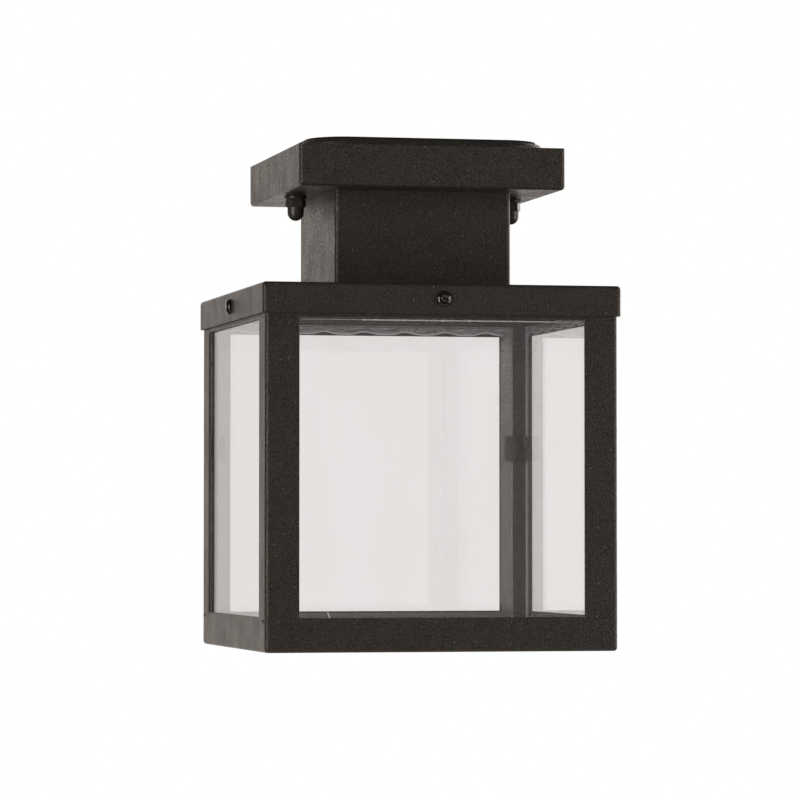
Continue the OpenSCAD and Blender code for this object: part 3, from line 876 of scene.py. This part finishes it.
@dataclass(frozen=True)
class CrossHeadScrew:
    """Pan-head screw with a tapered cross recess and a rolled thread, M4 if not said otherwise.

    The seat of the head is z = 0, the head rises from it and the shank goes down. The thread's
    depth and the places of its root and crest are shares of the pitch.
    """

    length: float
    diameter: float = 4.0 * MM
    head: float = 7.4 * MM
    height: float = 2.4 * MM
    pitch: float = 0.7 * MM
    recess: float = 4.0 * MM
    wing: float = 1.0 * MM
    depth: float = 1.6 * MM
    crown: float = 2.6
    crown_slope: float = 0.3
    taper: float = 0.38
    thread_depth: float = 0.36
    root_at: float = 0.35
    crest_at: float = 0.8
    tip: float = 0.9
    around: int = 36

    def shape(self) -> bmesh.types.BMesh:
        """Build one screw.

        Returns:
            Its mesh.
        """
        shape = bmesh.new()
        half = self.head / 2
        # the crown's outline is a quarter of a superellipse, from its middle to its rim
        swell = [math.radians(a) for a in range(0, 91, 6)]
        share = 2 / self.crown
        outline = [(half * math.sin(a) ** share, self.height * math.cos(a) ** share) for a in swell]
        outline = [p for p in outline if p[0] > self.recess / 2 or p[0] == 0.0]
        rim_z = self.height * (1 - (self.recess / self.head) ** self.crown) ** (1 / self.crown)
        outline.insert(1, (self.recess / 2, rim_z))
        outline.append((half, 0.0))
        root = self.diameter / 2 - self.thread_depth * self.pitch
        turns = int(self.length / self.pitch) - 1
        outline.append((root, 0.0))
        for turn in range(turns):
            outline.append((root, -self.pitch * (turn + self.root_at)))
            outline.append((self.diameter / 2, -self.pitch * (turn + self.crest_at)))
        outline.append((root, -self.pitch * (turns + self.root_at)))
        outline.append((root * self.tip, -self.length))
        outline.append((0.0, -self.length))
        spin_outline(shape, outline, self.around)
        bmesh.ops.remove_doubles(shape, verts=shape.verts, dist=ONE_POINT)
        bmesh.ops.recalc_face_normals(shape, faces=shape.faces)
        self._cut_recess(shape)
        return shape

    def _cut_recess(self, shape: bmesh.types.BMesh) -> None:
        """Sink the cross into the head, narrower at its bottom than at its top.

        Args:
            shape: The screw's mesh.
        """
        for axis in ((1.0, 0.0, 0.0), (0.0, 1.0, 0.0)):
            for side in (-1, 1):
                faces = [f for f in shape.faces if self._in_cross(f, self.recess / 2)]
                geom = {*faces, *(e for f in faces for e in f.edges)}
                geom |= {v for f in faces for v in f.verts}
                bmesh.ops.bisect_plane(
                    shape,
                    geom=list(geom),
                    plane_co=Vector(axis) * (side * self.wing / 2),
                    plane_no=axis,
                )
        cross = [
            f
            for f in shape.faces
            if self._in_cross(f, self.wing / 2)
            and f.calc_center_median().xy.length < self.recess / 2
        ]
        sunk = bmesh.ops.extrude_face_region(shape, geom=cross)["geom"]
        low = [v for v in sunk if isinstance(v, bmesh.types.BMVert)]
        bmesh.ops.scale(shape, verts=low, vec=(self.taper, self.taper, 1.0))
        bmesh.ops.translate(shape, verts=low, vec=(0.0, 0.0, -self.depth))

    def _in_cross(self, face: bmesh.types.BMFace, reach: float) -> bool:
        """Tell whether a face is one of the crown's that lie within a cross on it.

        Args:
            face: The face.
            reach: Half the width of the cross's arms.

        Returns:
            Whether its middle is inside.
        """
        centre = face.calc_center_median()
        on_crown = centre.z > 0.0 and face.normal.z >= self.crown_slope
        return on_crown and min(abs(centre.x), abs(centre.y)) < reach


def add_screws(
    name: str, screw: CrossHeadScrew, places: list[Matrix], finish: Finish, node: str
) -> None:
    """Stand a set of screws in for a node.

    Args:
        name: The piece's name.
        screw: The screw.
        places: Where each one sits.
        finish: The finish.
        node: The node that they stand for.
    """
    shape = screw.shape()
    first = list(shape.verts) + list(shape.edges) + list(shape.faces)
    for place in places[1:]:
        copy = bmesh.ops.duplicate(shape, geom=first)["geom"]
        verts = [v for v in copy if isinstance(v, bmesh.types.BMVert)]
        bmesh.ops.transform(shape, matrix=place, verts=verts)
    own = [v for v in first if isinstance(v, bmesh.types.BMVert)]
    bmesh.ops.transform(shape, matrix=places[0], verts=own)
    bmesh.ops.recalc_face_normals(shape, faces=shape.faces)
    add_piece(name, shape, finish, (node,))


def lay_bead(
    shape: bmesh.types.BMesh,
    path: list[Vector],
    sizes: list[tuple[float, float]],
    run: Run,
) -> None:
    """Lay a rounded bead along a nearly straight path.

    Args:
        shape: The mesh that gets the bead.
        path: Its points, in the drawing of a side.
        sizes: At each point, how far the bead reaches across the face and out of it.
        run: Which way it runs.
    """
    facing = Matrix.Rotation(math.pi / 2, 4, run.value)
    rings = []
    for point, (across, out) in zip(path, sizes):
        wide = (1.0, across, out) if run is Run.SIDEWAYS else (across, 1.0, out)
        rings.append(Matrix.Translation(point) @ Matrix.Diagonal((*wide, 1.0)) @ facing)
    start = bmesh.ops.create_circle(
        shape, cap_ends=True, radius=1.0, segments=8, matrix=rings[0]
    )
    cap = start["verts"][0].link_faces[0]
    for here, there in zip(rings, rings[1:]):
        grown = bmesh.ops.extrude_face_region(shape, geom=[cap])["geom"]
        cap = next(f for f in grown if isinstance(f, bmesh.types.BMFace))
        bmesh.ops.transform(shape, matrix=there @ here.inverted(), verts=list(cap.verts))


# ---------------------------------------------------------------- studio


@dataclass(frozen=True)
class PhotoCamera:
    """Camera that stands where the photograph was taken from."""

    focal_px: float = 4018.5
    picture_px: float = 800.0
    sensor_mm: float = 36.0
    yaw: float = math.radians(12.577)
    pitch: float = math.radians(1.949)
    place: tuple[float, float, float] = (-0.39826, -1.77728, -0.176)
    nearest: float = 0.01

    def build(self) -> None:
        """Make the camera and set it as the scene's."""
        data = bpy.data.cameras.new("camera")
        data.sensor_width = self.sensor_mm
        data.lens = self.focal_px * self.sensor_mm / self.picture_px
        data.clip_start = self.nearest
        camera = add_object("camera", data)
        camera.location = self.place
        camera.rotation_euler = (math.pi / 2 + self.pitch, 0.0, -self.yaw)
        bpy.context.scene.camera = camera


@dataclass(frozen=True)
class SoftLamp:
    """A soft box that points at the lantern and isn't in the picture itself.

    Its heading and its rise are in degrees, from the front and from the level, and its power is in
    watts.
    """

    name: str
    heading: float
    rise: float
    away: float
    width: float
    height: float
    power: float

    def build(self, target: Vector) -> None:
        """Make the lamp.

        Args:
            target: The point that it faces.
        """
        data = bpy.data.lights.new(self.name, "AREA")
        data.shape = "RECTANGLE"
        data.size = self.width
        data.size_y = self.height
        data.energy = self.power
        heading, rise = math.radians(self.heading), math.radians(self.rise)
        toward = Vector(
            (
                math.sin(heading) * math.cos(rise),
                -math.cos(heading) * math.cos(rise),
                math.sin(rise),
            )
        )
        lamp = add_object(self.name, data)
        lamp.location = target + toward * self.away
        lamp.rotation_euler = (-toward).to_track_quat("-Z", "Y").to_euler()
        lamp.visible_camera = False
        lamp.visible_transmission = False


@dataclass
class Studio:
    """White backdrop, pale floor, soft boxes at both sides and behind, and a dim room in front.

    The backdrop fades in between two shares of a ray that point straight back.
    """

    floor_z: float = -2.4
    floor_half: float = 2.0
    room: float = 0.08
    backdrop: float = 0.79
    backdrop_from: float = 0.84
    backdrop_full: float = 0.965
    tone: str = "#fff8f2"
    lamps: tuple[SoftLamp, ...] = (
        SoftLamp("left_soft_box", -52.0, -5.0, 2.4, 0.9, 2.3, 32.0),
        SoftLamp("right_soft_box", 64.0, -3.0, 2.4, 1.6, 2.3, 27.0),
        SoftLamp("back_soft_box", 128.0, 12.0, 2.6, 1.8, 2.2, 32.0),
    )

    def build(self, target: Vector) -> None:
        """Make the studio around the lantern.

        Args:
            target: The point that the lamps face.
        """
        scene = bpy.context.scene
        scene.view_settings.view_transform = "Standard"
        self._world(scene)
        self._floor()
        for lamp in self.lamps:
            lamp.build(target)

    def _world(self, scene: bpy.types.Scene) -> None:
        """Make the world: white wherever it is seen, and for its light a backdrop and a room.

        Args:
            scene: The scene that gets it.
        """
        world = bpy.data.worlds.new("studio")
        scene.world = world
        tree = empty_tree(world)
        heading = add_node(tree, "ShaderNodeTexCoord").outputs["Generated"]
        axes = add_node(tree, "ShaderNodeSeparateXYZ", {0: heading})
        depth = add_node(
            tree,
            "ShaderNodeMapRange",
            {
                "Value": axes.outputs["Y"],
                "From Min": self.backdrop_from,
                "From Max": self.backdrop_full,
                "To Min": self.room,
                "To Max": self.backdrop,
            },
            interpolation_type="SMOOTHSTEP",
        )
        seen = seen_share(tree)
        level = add_node(
            tree, "ShaderNodeMix", {0: seen, 2: depth.outputs[0], 3: 1.0}, data_type="FLOAT"
        )
        tone = add_node(
            tree,
            "ShaderNodeMix",
            {0: seen, 6: linear(self.tone), 7: (1.0, 1.0, 1.0, 1.0)},
            data_type="RGBA",
        )
        light = add_node(
            tree,
            "ShaderNodeBackground",
            {"Color": tone.outputs[2], "Strength": level.outputs[0]},
        )
        add_node(tree, "ShaderNodeOutputWorld", {"Surface": light.outputs[0]})

    def _floor(self) -> None:
        """Make the pale floor, well below the lantern."""
        shape = bmesh.new()
        bmesh.ops.create_grid(shape, x_segments=1, y_segments=1, size=self.floor_half)
        bmesh.ops.translate(shape, verts=shape.verts, vec=(0.0, 0.0, self.floor_z))
        floor = add_shape("floor", shape, Finishes.floor)
        floor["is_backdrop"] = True


# ---------------------------------------------------------------- sub-assemblies


@dataclass
class CeilingMount:
    """Foam pad, plate, bush, studs and the nuts that hold the canopy up to them."""

    frame: dict
    washer_edge: float = 0.12 * MM
    nut_edge: float = 0.2 * MM

    def build(self) -> None:
        """Dress the mount."""
        dress(self.frame, Finishes.foam, "ceiling_gasket")
        dress(self.frame, Finishes.rubber, "cable_bush")
        dress(self.frame, Finishes.zinc_thread, "hanging_studs")
        BrokenEdges(self.frame).dress(Finishes.powder, "ceiling_plate")
        BrokenEdges(self.frame, self.washer_edge).dress(Finishes.nut_black, "nut_washers")
        BrokenEdges(self.frame, self.nut_edge).dress(Finishes.nut_black, "cap_nuts")


@dataclass(frozen=True)
class GroundSeam:
    """Weld seam across a post's foot, ground down by hand, with one small mark left in it.

    The seam is `flat` times as wide as it is high, and grinding leaves `least` of its roughness.
    """

    start: float = 64.0 * MM
    end: float = 77.0 * MM
    steps: int = 25
    lumps_per_metre: float = 900.0
    height: float = 0.06 * MM
    least: float = -0.6
    flat: float = 2.4
    wander: float = 0.12 * MM
    mark_at: float = 9.2 * MM
    mark_reach: float = 0.5 * MM
    mark_height: float = 0.3 * MM

    def lay(self, shape: bmesh.types.BMesh, side: Side, hand: int) -> None:
        """Lay the seam on the drawing of a side.

        Args:
            shape: The mesh that gets it.
            side: The side. Each foot has its own roughness.
            hand: -1 for the side's left post, 1 for the right one.
        """
        path, sizes = [], []
        for i in range(self.steps + 1):
            x = self.start + (self.end - self.start) * i / self.steps
            # the last two numbers tell the feet's roughness apart
            place = Vector((x * self.lumps_per_metre, hand * 3.0, side.value * 0.37))
            rough = noise.noise(place)
            mark = math.exp(-(((x - self.start - self.mark_at) / self.mark_reach) ** 2))
            high = self.height * (1 + max(rough, self.least)) + self.mark_height * mark
            path.append(Vector((hand * x, self.wander * rough, 0.0)))
            sizes.append((self.flat * high, high))
        lay_bead(shape, path, sizes, Run.SIDEWAYS)


@dataclass
class Housing:
    """Canopy, neck, cap and the cage's posts and rails.

    The cage's screws are turned by degrees, in the order of the sides, and each set of neck screws
    has its node, the level of its seats and its length.
    """

    frame: dict
    cap_half: float = 80.0 * MM
    cage_half: float = 78.6 * MM
    seam: GroundSeam = GroundSeam()
    seam_z: float = -212.5 * MM
    screw: CrossHeadScrew = CrossHeadScrew(
        7.0 * MM, head=6.9 * MM, height=2.15 * MM, recess=3.4 * MM, depth=0.85 * MM
    )
    screw_z: float = -72.65 * MM
    screw_turns: tuple[float, ...] = (12.0, 33.0, 52.0, 0.0)
    neck_screw_at: float = 32.8 * MM
    neck_screws: tuple[tuple[str, float, float], ...] = (
        ("neck_top_screws", -23.7 * MM, 6.4 * MM),
        ("neck_bottom_screws", -67.0 * MM, 6.2 * MM),
    )
    neck_nut_edge: float = 0.12 * MM

    def build(self) -> None:
        """Break the sheet's edges, coat it, weld the posts to the rail and drive the screws."""
        BrokenEdges(self.frame).dress(
            Finishes.powder,
            "canopy",
            "neck_tube",
            "top_cap",
            "top_rail_frame",
            "front_left_post",
            "front_right_post",
            "back_right_post",
            "back_left_post",
            "bottom_rail_frame",
            "pane_tabs",
            "cage_weld_nuts",
        )
        self._seams()
        self._cage_screws()
        self._neck_fasteners()

    def _seams(self) -> None:
        """Lay the ground-down weld seam across both legs of every post's foot."""
        shape = bmesh.new()
        for side in Side:
            for hand in (-1, 1):
                before = len(shape.verts)
                self.seam.lay(shape, side, hand)
                new = list(shape.verts)[before:]
                face = side.face(self.cage_half, self.seam_z)
                bmesh.ops.transform(shape, matrix=face, verts=new)
        bmesh.ops.recalc_face_normals(shape, faces=shape.faces)
        add_piece("post_weld_seams", shape, Finishes.powder)

    def _cage_screws(self) -> None:
        """Drive the four glossy black screws into the cap's edge."""
        at = Matrix.Translation((self.cap_half, 0.0, self.screw_z))
        out = Matrix.Rotation(math.pi / 2, 4, "Y")
        places = [
            side.turn() @ at @ out @ Matrix.Rotation(math.radians(turn), 4, "Z")
            for side, turn in zip(Side, self.screw_turns)
        ]
        add_screws("cage_screws_driven", self.screw, places, Finishes.black_zinc, "cage_screws")

    def _neck_fasteners(self) -> None:
        """Fit the screws and nuts that join the neck to the canopy and to the cap."""
        down = Matrix.Rotation(math.pi, 4, "X")
        for node, level, length in self.neck_screws:
            # each screw comes to a stop at a turn of its own
            places = [
                Matrix.Translation((x * self.neck_screw_at, y * self.neck_screw_at, level))
                @ down
                @ Matrix.Rotation(0.4 + 1.1 * x + 0.7 * y, 4, "Z")
                for x in (-1, 1)
                for y in (-1, 1)
            ]
            add_screws(f"{node}_driven", CrossHeadScrew(length), places, Finishes.zinc, node)
        BrokenEdges(self.frame, self.neck_nut_edge).dress(
            Finishes.zinc, "neck_top_nuts", "neck_bottom_nuts"
        )


@dataclass(frozen=True)
class SqueezedLine:
    """Thin line of silicone that came out under the front top rail onto the pane.

    It is full between two places, each given with the length over which it thins out there, and a
    little more came out at its blobs.
    """

    inset: float = 0.4 * MM
    drop: float = 0.85 * MM
    steps: int = 180
    lumps_per_metre: float = 420.0
    which_lumps: tuple[float, float] = (243.0, 4.0)
    full_from: tuple[float, float] = (-35.0 * MM, 0.5 * MM)
    full_to: tuple[float, float] = (50.0 * MM, 2.5 * MM)
    blobs: tuple[float, ...] = (-34.9 * MM, -17.4 * MM, -0.2 * MM, 12.1 * MM)
    blob_reach: float = 0.45 * MM
    thin: float = 0.1 * MM
    full: float = 0.17 * MM
    lump: float = 0.07 * MM
    blob: float = 0.25 * MM
    wander: float = 0.06 * MM

    def lay(self, shape: bmesh.types.BMesh, half: float, lift: float) -> None:
        """Lay the line on the drawing of a side.

        Args:
            shape: The mesh that gets it.
            half: Half the window's width.
            lift: How far off the pane it lies.
        """
        path, sizes = [], []
        start, end = self.inset - half, half - self.inset
        (on, on_over), (off, off_over) = self.full_from, self.full_to
        for i in range(self.steps + 1):
            x = start + (end - start) * i / self.steps
            rough = noise.noise(Vector((x * self.lumps_per_metre, *self.which_lumps)))
            full = 1 / (1 + math.exp((on - x) / on_over)) / (1 + math.exp((x - off) / off_over))
            more = sum(math.exp(-(((x - at) / self.blob_reach) ** 2)) for at in self.blobs)
            size = self.thin + self.full * full + self.lump * rough + self.blob * more
            path.append(Vector((x, self.wander * rough - self.drop, size + lift)))
            sizes.append((size, size))
        lay_bead(shape, path, sizes, Run.SIDEWAYS)


@dataclass
class Glazing:
    """Panes, the silicone that beds them and what was squeezed out of the beds.

    A side is drawn on its pane's outer face, from the middle of the window's upper edge. The dabs'
    shifts follow the order of the sides, and the smear is given by its upper end, the step to each
    further point and its half sizes. A pane's colours are its clear and its wiped colour. The left
    pane's are darker as painted shade and the right pane's lighter as painted light.
    """

    frame: dict
    plain_tint: tuple[str, str] = ("#f7f5f5", "#f1efee")
    ground: float = 0.35 * MM
    thickness: float = 3.0 * MM
    glass_out: float = 77.2 * MM
    gap: float = 0.4 * MM
    film: float = 0.03 * MM
    window_half: float = 63.6 * MM
    window_top: float = -81.2 * MM
    window_h: float = 129.8 * MM
    bed_half: float = 68.9 * MM
    bed_over: float = 4.0 * MM
    bed_back: float = 0.7 * MM
    lip: float = 0.8 * MM
    bead: float = 0.5 * MM
    dab_pitch: float = 19.6 * MM
    dab_rise: float = 1.2 * MM
    dab_power: int = 4
    dab_shifts: tuple[float, ...] = (0.0, 1.9 * MM, 1.4 * MM, 2.1 * MM)
    lumps_per_metre: float = 350.0
    lump: float = 0.12 * MM
    smear_start: tuple[float, float] = (20.3 * MM, -130.2 * MM)
    smear_step: tuple[float, float] = (-0.35 * MM, -0.9 * MM)
    smear_points: int = 4
    smear_size: tuple[float, float] = (0.25 * MM, 0.12 * MM)
    steps: int = 110
    squeezed: SqueezedLine = SqueezedLine()
    # the same float glass on every side: the left pane darker as painted shade, the right pane
    # lighter as painted light
    tints_with_painted_shade_and_light: dict[str, tuple[str, str]] = field(
        default_factory=lambda: {"left": ("#eeecec", "#e8e6e5"), "right": ("#faf8f8", "#f4f2f1")}
    )

    def build(self) -> None:
        """Dress the panes, lay the beds and their skins."""
        for side in ("front", "right", "back", "left", "bottom"):
            node = f"{side}_pane"
            low, high = (Vector(c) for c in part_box(node))
            half = (high - low) / 2
            thin = min(range(3), key=lambda i: half[i])
            # its faces aren't ground, so nothing lies past the reach across its thickness
            reach = [h - self.ground for h in half]
            reach[thin] = 1.0
            # the left and right panes take painted shade and painted light in place of the plain
            # colours
            tint_and_painted_light = self.tints_with_painted_shade_and_light.get(side, self.plain_tint)
            glass = FloatGlass(
                f"float glass {side}",
                "clear_glass",
                *tint_and_painted_light,
                middle=tuple((low + high) / 2),
                half=tuple(reach),
            )
            dress(self.frame, glass, node)
        dress(self.frame, Finishes.silicone, "bottom_glazing_bead")
        for side in Side:
            self._bed(side)
            self._skins(side)

    def _dabs(self, side: Side, x: float) -> float:
        """Find how high the silicone's lower edge is drawn up along the top.

        Args:
            side: The side, which has its own dabs.
            x: The place along it.

        Returns:
            The height in the drawing of the side.
        """
        shift = self.dab_shifts[side.value // 90]
        wave = math.cos(math.pi * (x - shift) / self.dab_pitch) ** self.dab_power
        place = Vector((x * self.lumps_per_metre, side.value * 1.3, 0.0))
        return self.lip / 2 + self.dab_rise * wave + self.lump * noise.noise(place)

    def _fit(
        self, side: Side, kind: str, shape: bmesh.types.BMesh, finish: Finish, *nodes: str
    ) -> None:
        """Bring a shape from the drawing of a side to its pane and make a piece of it.

        Args:
            side: The side.
            kind: What the piece is, for its name.
            shape: The mesh. It is freed.
            finish: The piece's finish.
            nodes: The frame's nodes that it replaces.
        """
        bmesh.ops.transform(
            shape, matrix=side.face(self.glass_out, self.window_top), verts=shape.verts
        )
        bmesh.ops.recalc_face_normals(shape, faces=shape.faces)
        add_piece(f"{side.name.lower()}_{kind}", shape, finish, nodes)

    def _bed(self, side: Side) -> None:
        """Lay the flat bed between pane and steel, with its scalloped edge along the top.

        Args:
            side: The side.
        """
        shape = bmesh.new()
        high, low = self.bed_over, -self.window_h - self.bed_over
        bmesh.ops.create_grid(shape, x_segments=1, y_segments=1, size=1.0)
        bmesh.ops.scale(shape, verts=shape.verts, vec=(self.bed_half, (high - low) / 2, 1.0))
        bmesh.ops.translate(shape, verts=shape.verts, vec=(0.0, (high + low) / 2, 0.0))
        inner, top, foot = self.window_half + self.lip, self.lip / 2, -self.window_h - self.lip
        cuts = [((x, 0.0, 0.0), (1.0, 0.0, 0.0)) for x in (-inner, inner)]
        cuts += [((0.0, y, 0.0), (0.0, 1.0, 0.0)) for y in (top, foot)]
        for i in range(1, self.steps):
            x = inner * (2 * i / self.steps - 1)
            cuts.append(((x, 0.0, 0.0), (1.0, 0.0, 0.0)))
        for place, across in cuts:
            bmesh.ops.bisect_plane(
                shape,
                geom=[*shape.verts, *shape.edges, *shape.faces],
                plane_co=place,
                plane_no=across,
            )
        middle = [
            f
            for f in shape.faces
            if abs(f.calc_center_median().x) < inner and foot < f.calc_center_median().y < top
        ]
        bmesh.ops.delete(shape, geom=middle, context="FACES")
        for vert in shape.verts:
            if abs(vert.co.y - top) < ONE_POINT and abs(vert.co.x) < inner:
                vert.co.y = self._dabs(side, vert.co.x) + self.bed_back
        bmesh.ops.solidify(shape, geom=list(shape.faces), thickness=self.gap - 2 * self.film)
        lowest = min(v.co.z for v in shape.verts)
        bmesh.ops.translate(shape, verts=shape.verts, vec=(0.0, 0.0, self.film - lowest))
        bead = f"{side.name.lower()}_glazing_bead"
        self._fit(side, "silicone", shape, Finishes.silicone, bead)

    def _skins(self, side: Side) -> None:
        """Lay the bead along the scalloped edge, and what got onto the front and back panes.

        Args:
            side: The side.
        """
        shape = bmesh.new()
        inner = self.window_half + self.lip
        mid = self.gap / 2
        along = [inner * (2 * i / self.steps - 1) for i in range(self.steps + 1)]
        lay_bead(
            shape,
            [Vector((x, self._dabs(side, x) + self.bead, mid)) for x in along],
            [(self.bead, mid - self.film)] * len(along),
            Run.SIDEWAYS,
        )
        if side is Side.BACK:
            self._smear(shape)
        # the skin's and the squeezed line's pale colours are partly painted highlight
        self._fit(side, "silicone_skin", shape, Finishes.skin)
        if side is Side.FRONT:
            shape = bmesh.new()
            self.squeezed.lay(shape, self.window_half, self.film)
            self._fit(side, "silicone_squeezed", shape, Finishes.squeezed)

    def _smear(self, shape: bmesh.types.BMesh) -> None:
        """Lay the smear that was left on the pane's inner face.

        Args:
            shape: The mesh that gets it.
        """
        (x, y), (dx, dy) = self.smear_start, self.smear_step
        inside = -self.thickness - self.gap / 2
        path = [Vector((x + dx * i, y + dy * i, inside)) for i in range(self.smear_points)]
        lay_bead(shape, path, [self.smear_size] * self.smear_points, Run.UPRIGHT)


@dataclass
class Lampholder:
    """Porcelain lampholder on its hollow tube, with a rolled screw shell."""

    frame: dict
    shell_low: float = -70.5 * MM
    shell_step: float = -52.7 * MM
    shell_top: float = -48.5 * MM
    thread_pitch: float = 3.63 * MM
    thread_mid: float = 12.85 * MM
    thread_wave: float = 0.42 * MM
    thread_steps: int = 10
    turns_meet: float = 0.01 * MM
    collar: float = 12.3 * MM
    flange: float = 11.7 * MM
    wall: float = 0.35 * MM
    around: int = 48
    screw: CrossHeadScrew = CrossHeadScrew(
        13.4 * MM,
        diameter=2.5 * MM,
        head=4.2 * MM,
        height=1.5 * MM,
        pitch=0.6 * MM,
        recess=2.5 * MM,
        wing=0.6 * MM,
        depth=1.0 * MM,
    )
    screw_at: float = 9.3 * MM
    porcelain_edge: float = 0.35 * MM
    contact_edge: float = 0.1 * MM
    nut_edge: float = 0.15 * MM

    def build(self) -> None:
        """Glaze the porcelain, roll the shell and fit the contacts."""
        BrokenEdges(self.frame, self.porcelain_edge).dress(
            Finishes.porcelain, "lampholder_cover", "lampholder_body"
        )
        BrokenEdges(self.frame, self.contact_edge).dress(
            Finishes.brass, "centre_contact", "holder_clamps"
        )
        BrokenEdges(self.frame, self.nut_edge).dress(Finishes.zinc, "tube_nuts")
        dress(self.frame, Finishes.zinc_thread, "threaded_tube")
        self._shell()
        down = Matrix.Rotation(math.pi, 4, "X")
        places = [
            Matrix.Translation((0.0, y * self.screw_at, self.shell_top)) @ down for y in (-1, 1)
        ]
        add_screws("holder_screws_driven", self.screw, places, Finishes.zinc, "holder_screws")

    def _shell(self) -> None:
        """Roll the round thread into the brass shell, and its collar and flange above."""
        shape = bmesh.new()
        turns = int((self.shell_step - self.shell_low) / self.thread_pitch) + 2
        wave = []
        for i in range(self.thread_steps + 1):
            share = i / self.thread_steps
            radius = self.thread_mid + self.thread_wave * math.cos(math.tau * share)
            wave.append((radius, self.shell_low - self.thread_pitch * (1 - share)))
        spin_outline(shape, wave, self.around, turns, self.thread_pitch)
        bmesh.ops.remove_doubles(shape, verts=shape.verts, dist=self.turns_meet)
        for level, up in ((self.shell_low, -1.0), (self.shell_step, 1.0)):
            bmesh.ops.bisect_plane(
                shape,
                geom=[*shape.verts, *shape.edges, *shape.faces],
                plane_co=(0.0, 0.0, level),
                plane_no=(0.0, 0.0, up),
                clear_outer=True,
            )
        outline = [
            (self.thread_mid + self.thread_wave, self.shell_step),
            (self.collar, self.shell_step),
            (self.collar, self.shell_top),
            (self.flange, self.shell_top),
        ]
        spin_outline(shape, outline, self.around)
        bmesh.ops.recalc_face_normals(shape, faces=shape.faces)
        piece = add_piece(
            "screw_shell_rolled", shape, Finishes.brass, ("screw_shell",), sharp=40.0
        )
        sheet = piece.modifiers.new("sheet", "SOLIDIFY")
        sheet.thickness = self.wall
        sheet.offset = 0.0


@dataclass
class Wiring:
    """Terminal block, earth screw and the lantern's own wires."""

    frame: dict
    earth_screw: CrossHeadScrew = CrossHeadScrew(5.2 * MM)
    earth_y: float = -21.758 * MM
    floor_z: float = -21.3 * MM
    block_screw: CrossHeadScrew = CrossHeadScrew(
        15.5 * MM,
        diameter=3.0 * MM,
        head=4.0 * MM,
        height=1.6 * MM,
        pitch=0.5 * MM,
        recess=2.5 * MM,
        wing=0.6 * MM,
        depth=1.0 * MM,
    )
    block_screw_x: float = 4.5 * MM
    block_y: float = 23.0 * MM
    block_seat: float = -7.8 * MM
    block_edge: float = 0.3 * MM
    small_edge: float = 0.1 * MM

    def build(self) -> None:
        """Fit the block and its screws, and sleeve the wires."""
        BrokenEdges(self.frame, self.block_edge).dress(Finishes.nylon, "terminal_block")
        BrokenEdges(self.frame, self.small_edge).dress(
            Finishes.zinc, "terminal_screws", "earth_nut"
        )
        at = Matrix.Translation((0.0, self.earth_y, self.floor_z))
        add_screws("earth_screw_driven", self.earth_screw, [at], Finishes.brass, "earth_screw")
        places = [
            Matrix.Translation((x * self.block_screw_x, self.block_y, self.block_seat))
            for x in (-1, 1)
        ]
        add_screws(
            "block_screws_driven", self.block_screw, places, Finishes.zinc, "block_screws"
        )
        for node, finish in (
            ("live_wire", Finishes.brown),
            ("neutral_wire", Finishes.blue),
            ("earth_wire", Finishes.green),
        ):
            shape = copy_shape(self.frame, node)
            add_piece(f"{node}_sleeved", shape, finish, (node,), sharp=60.0)


def main() -> None:
    """Load the frame and build the lantern and its studio in order."""
    logging.basicConfig(level=logging.INFO, format="%(message)s")
    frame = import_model()
    cad_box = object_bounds()
    middle = (Vector(cad_box[0]) + Vector(cad_box[1])) / 2
    PhotoCamera().build()
    Studio().build(middle)
    CeilingMount(frame).build()
    Housing(frame).build()
    Glazing(frame).build()
    Lampholder(frame).build()
    Wiring(frame).build()


if __name__ == "__main__":
    main()
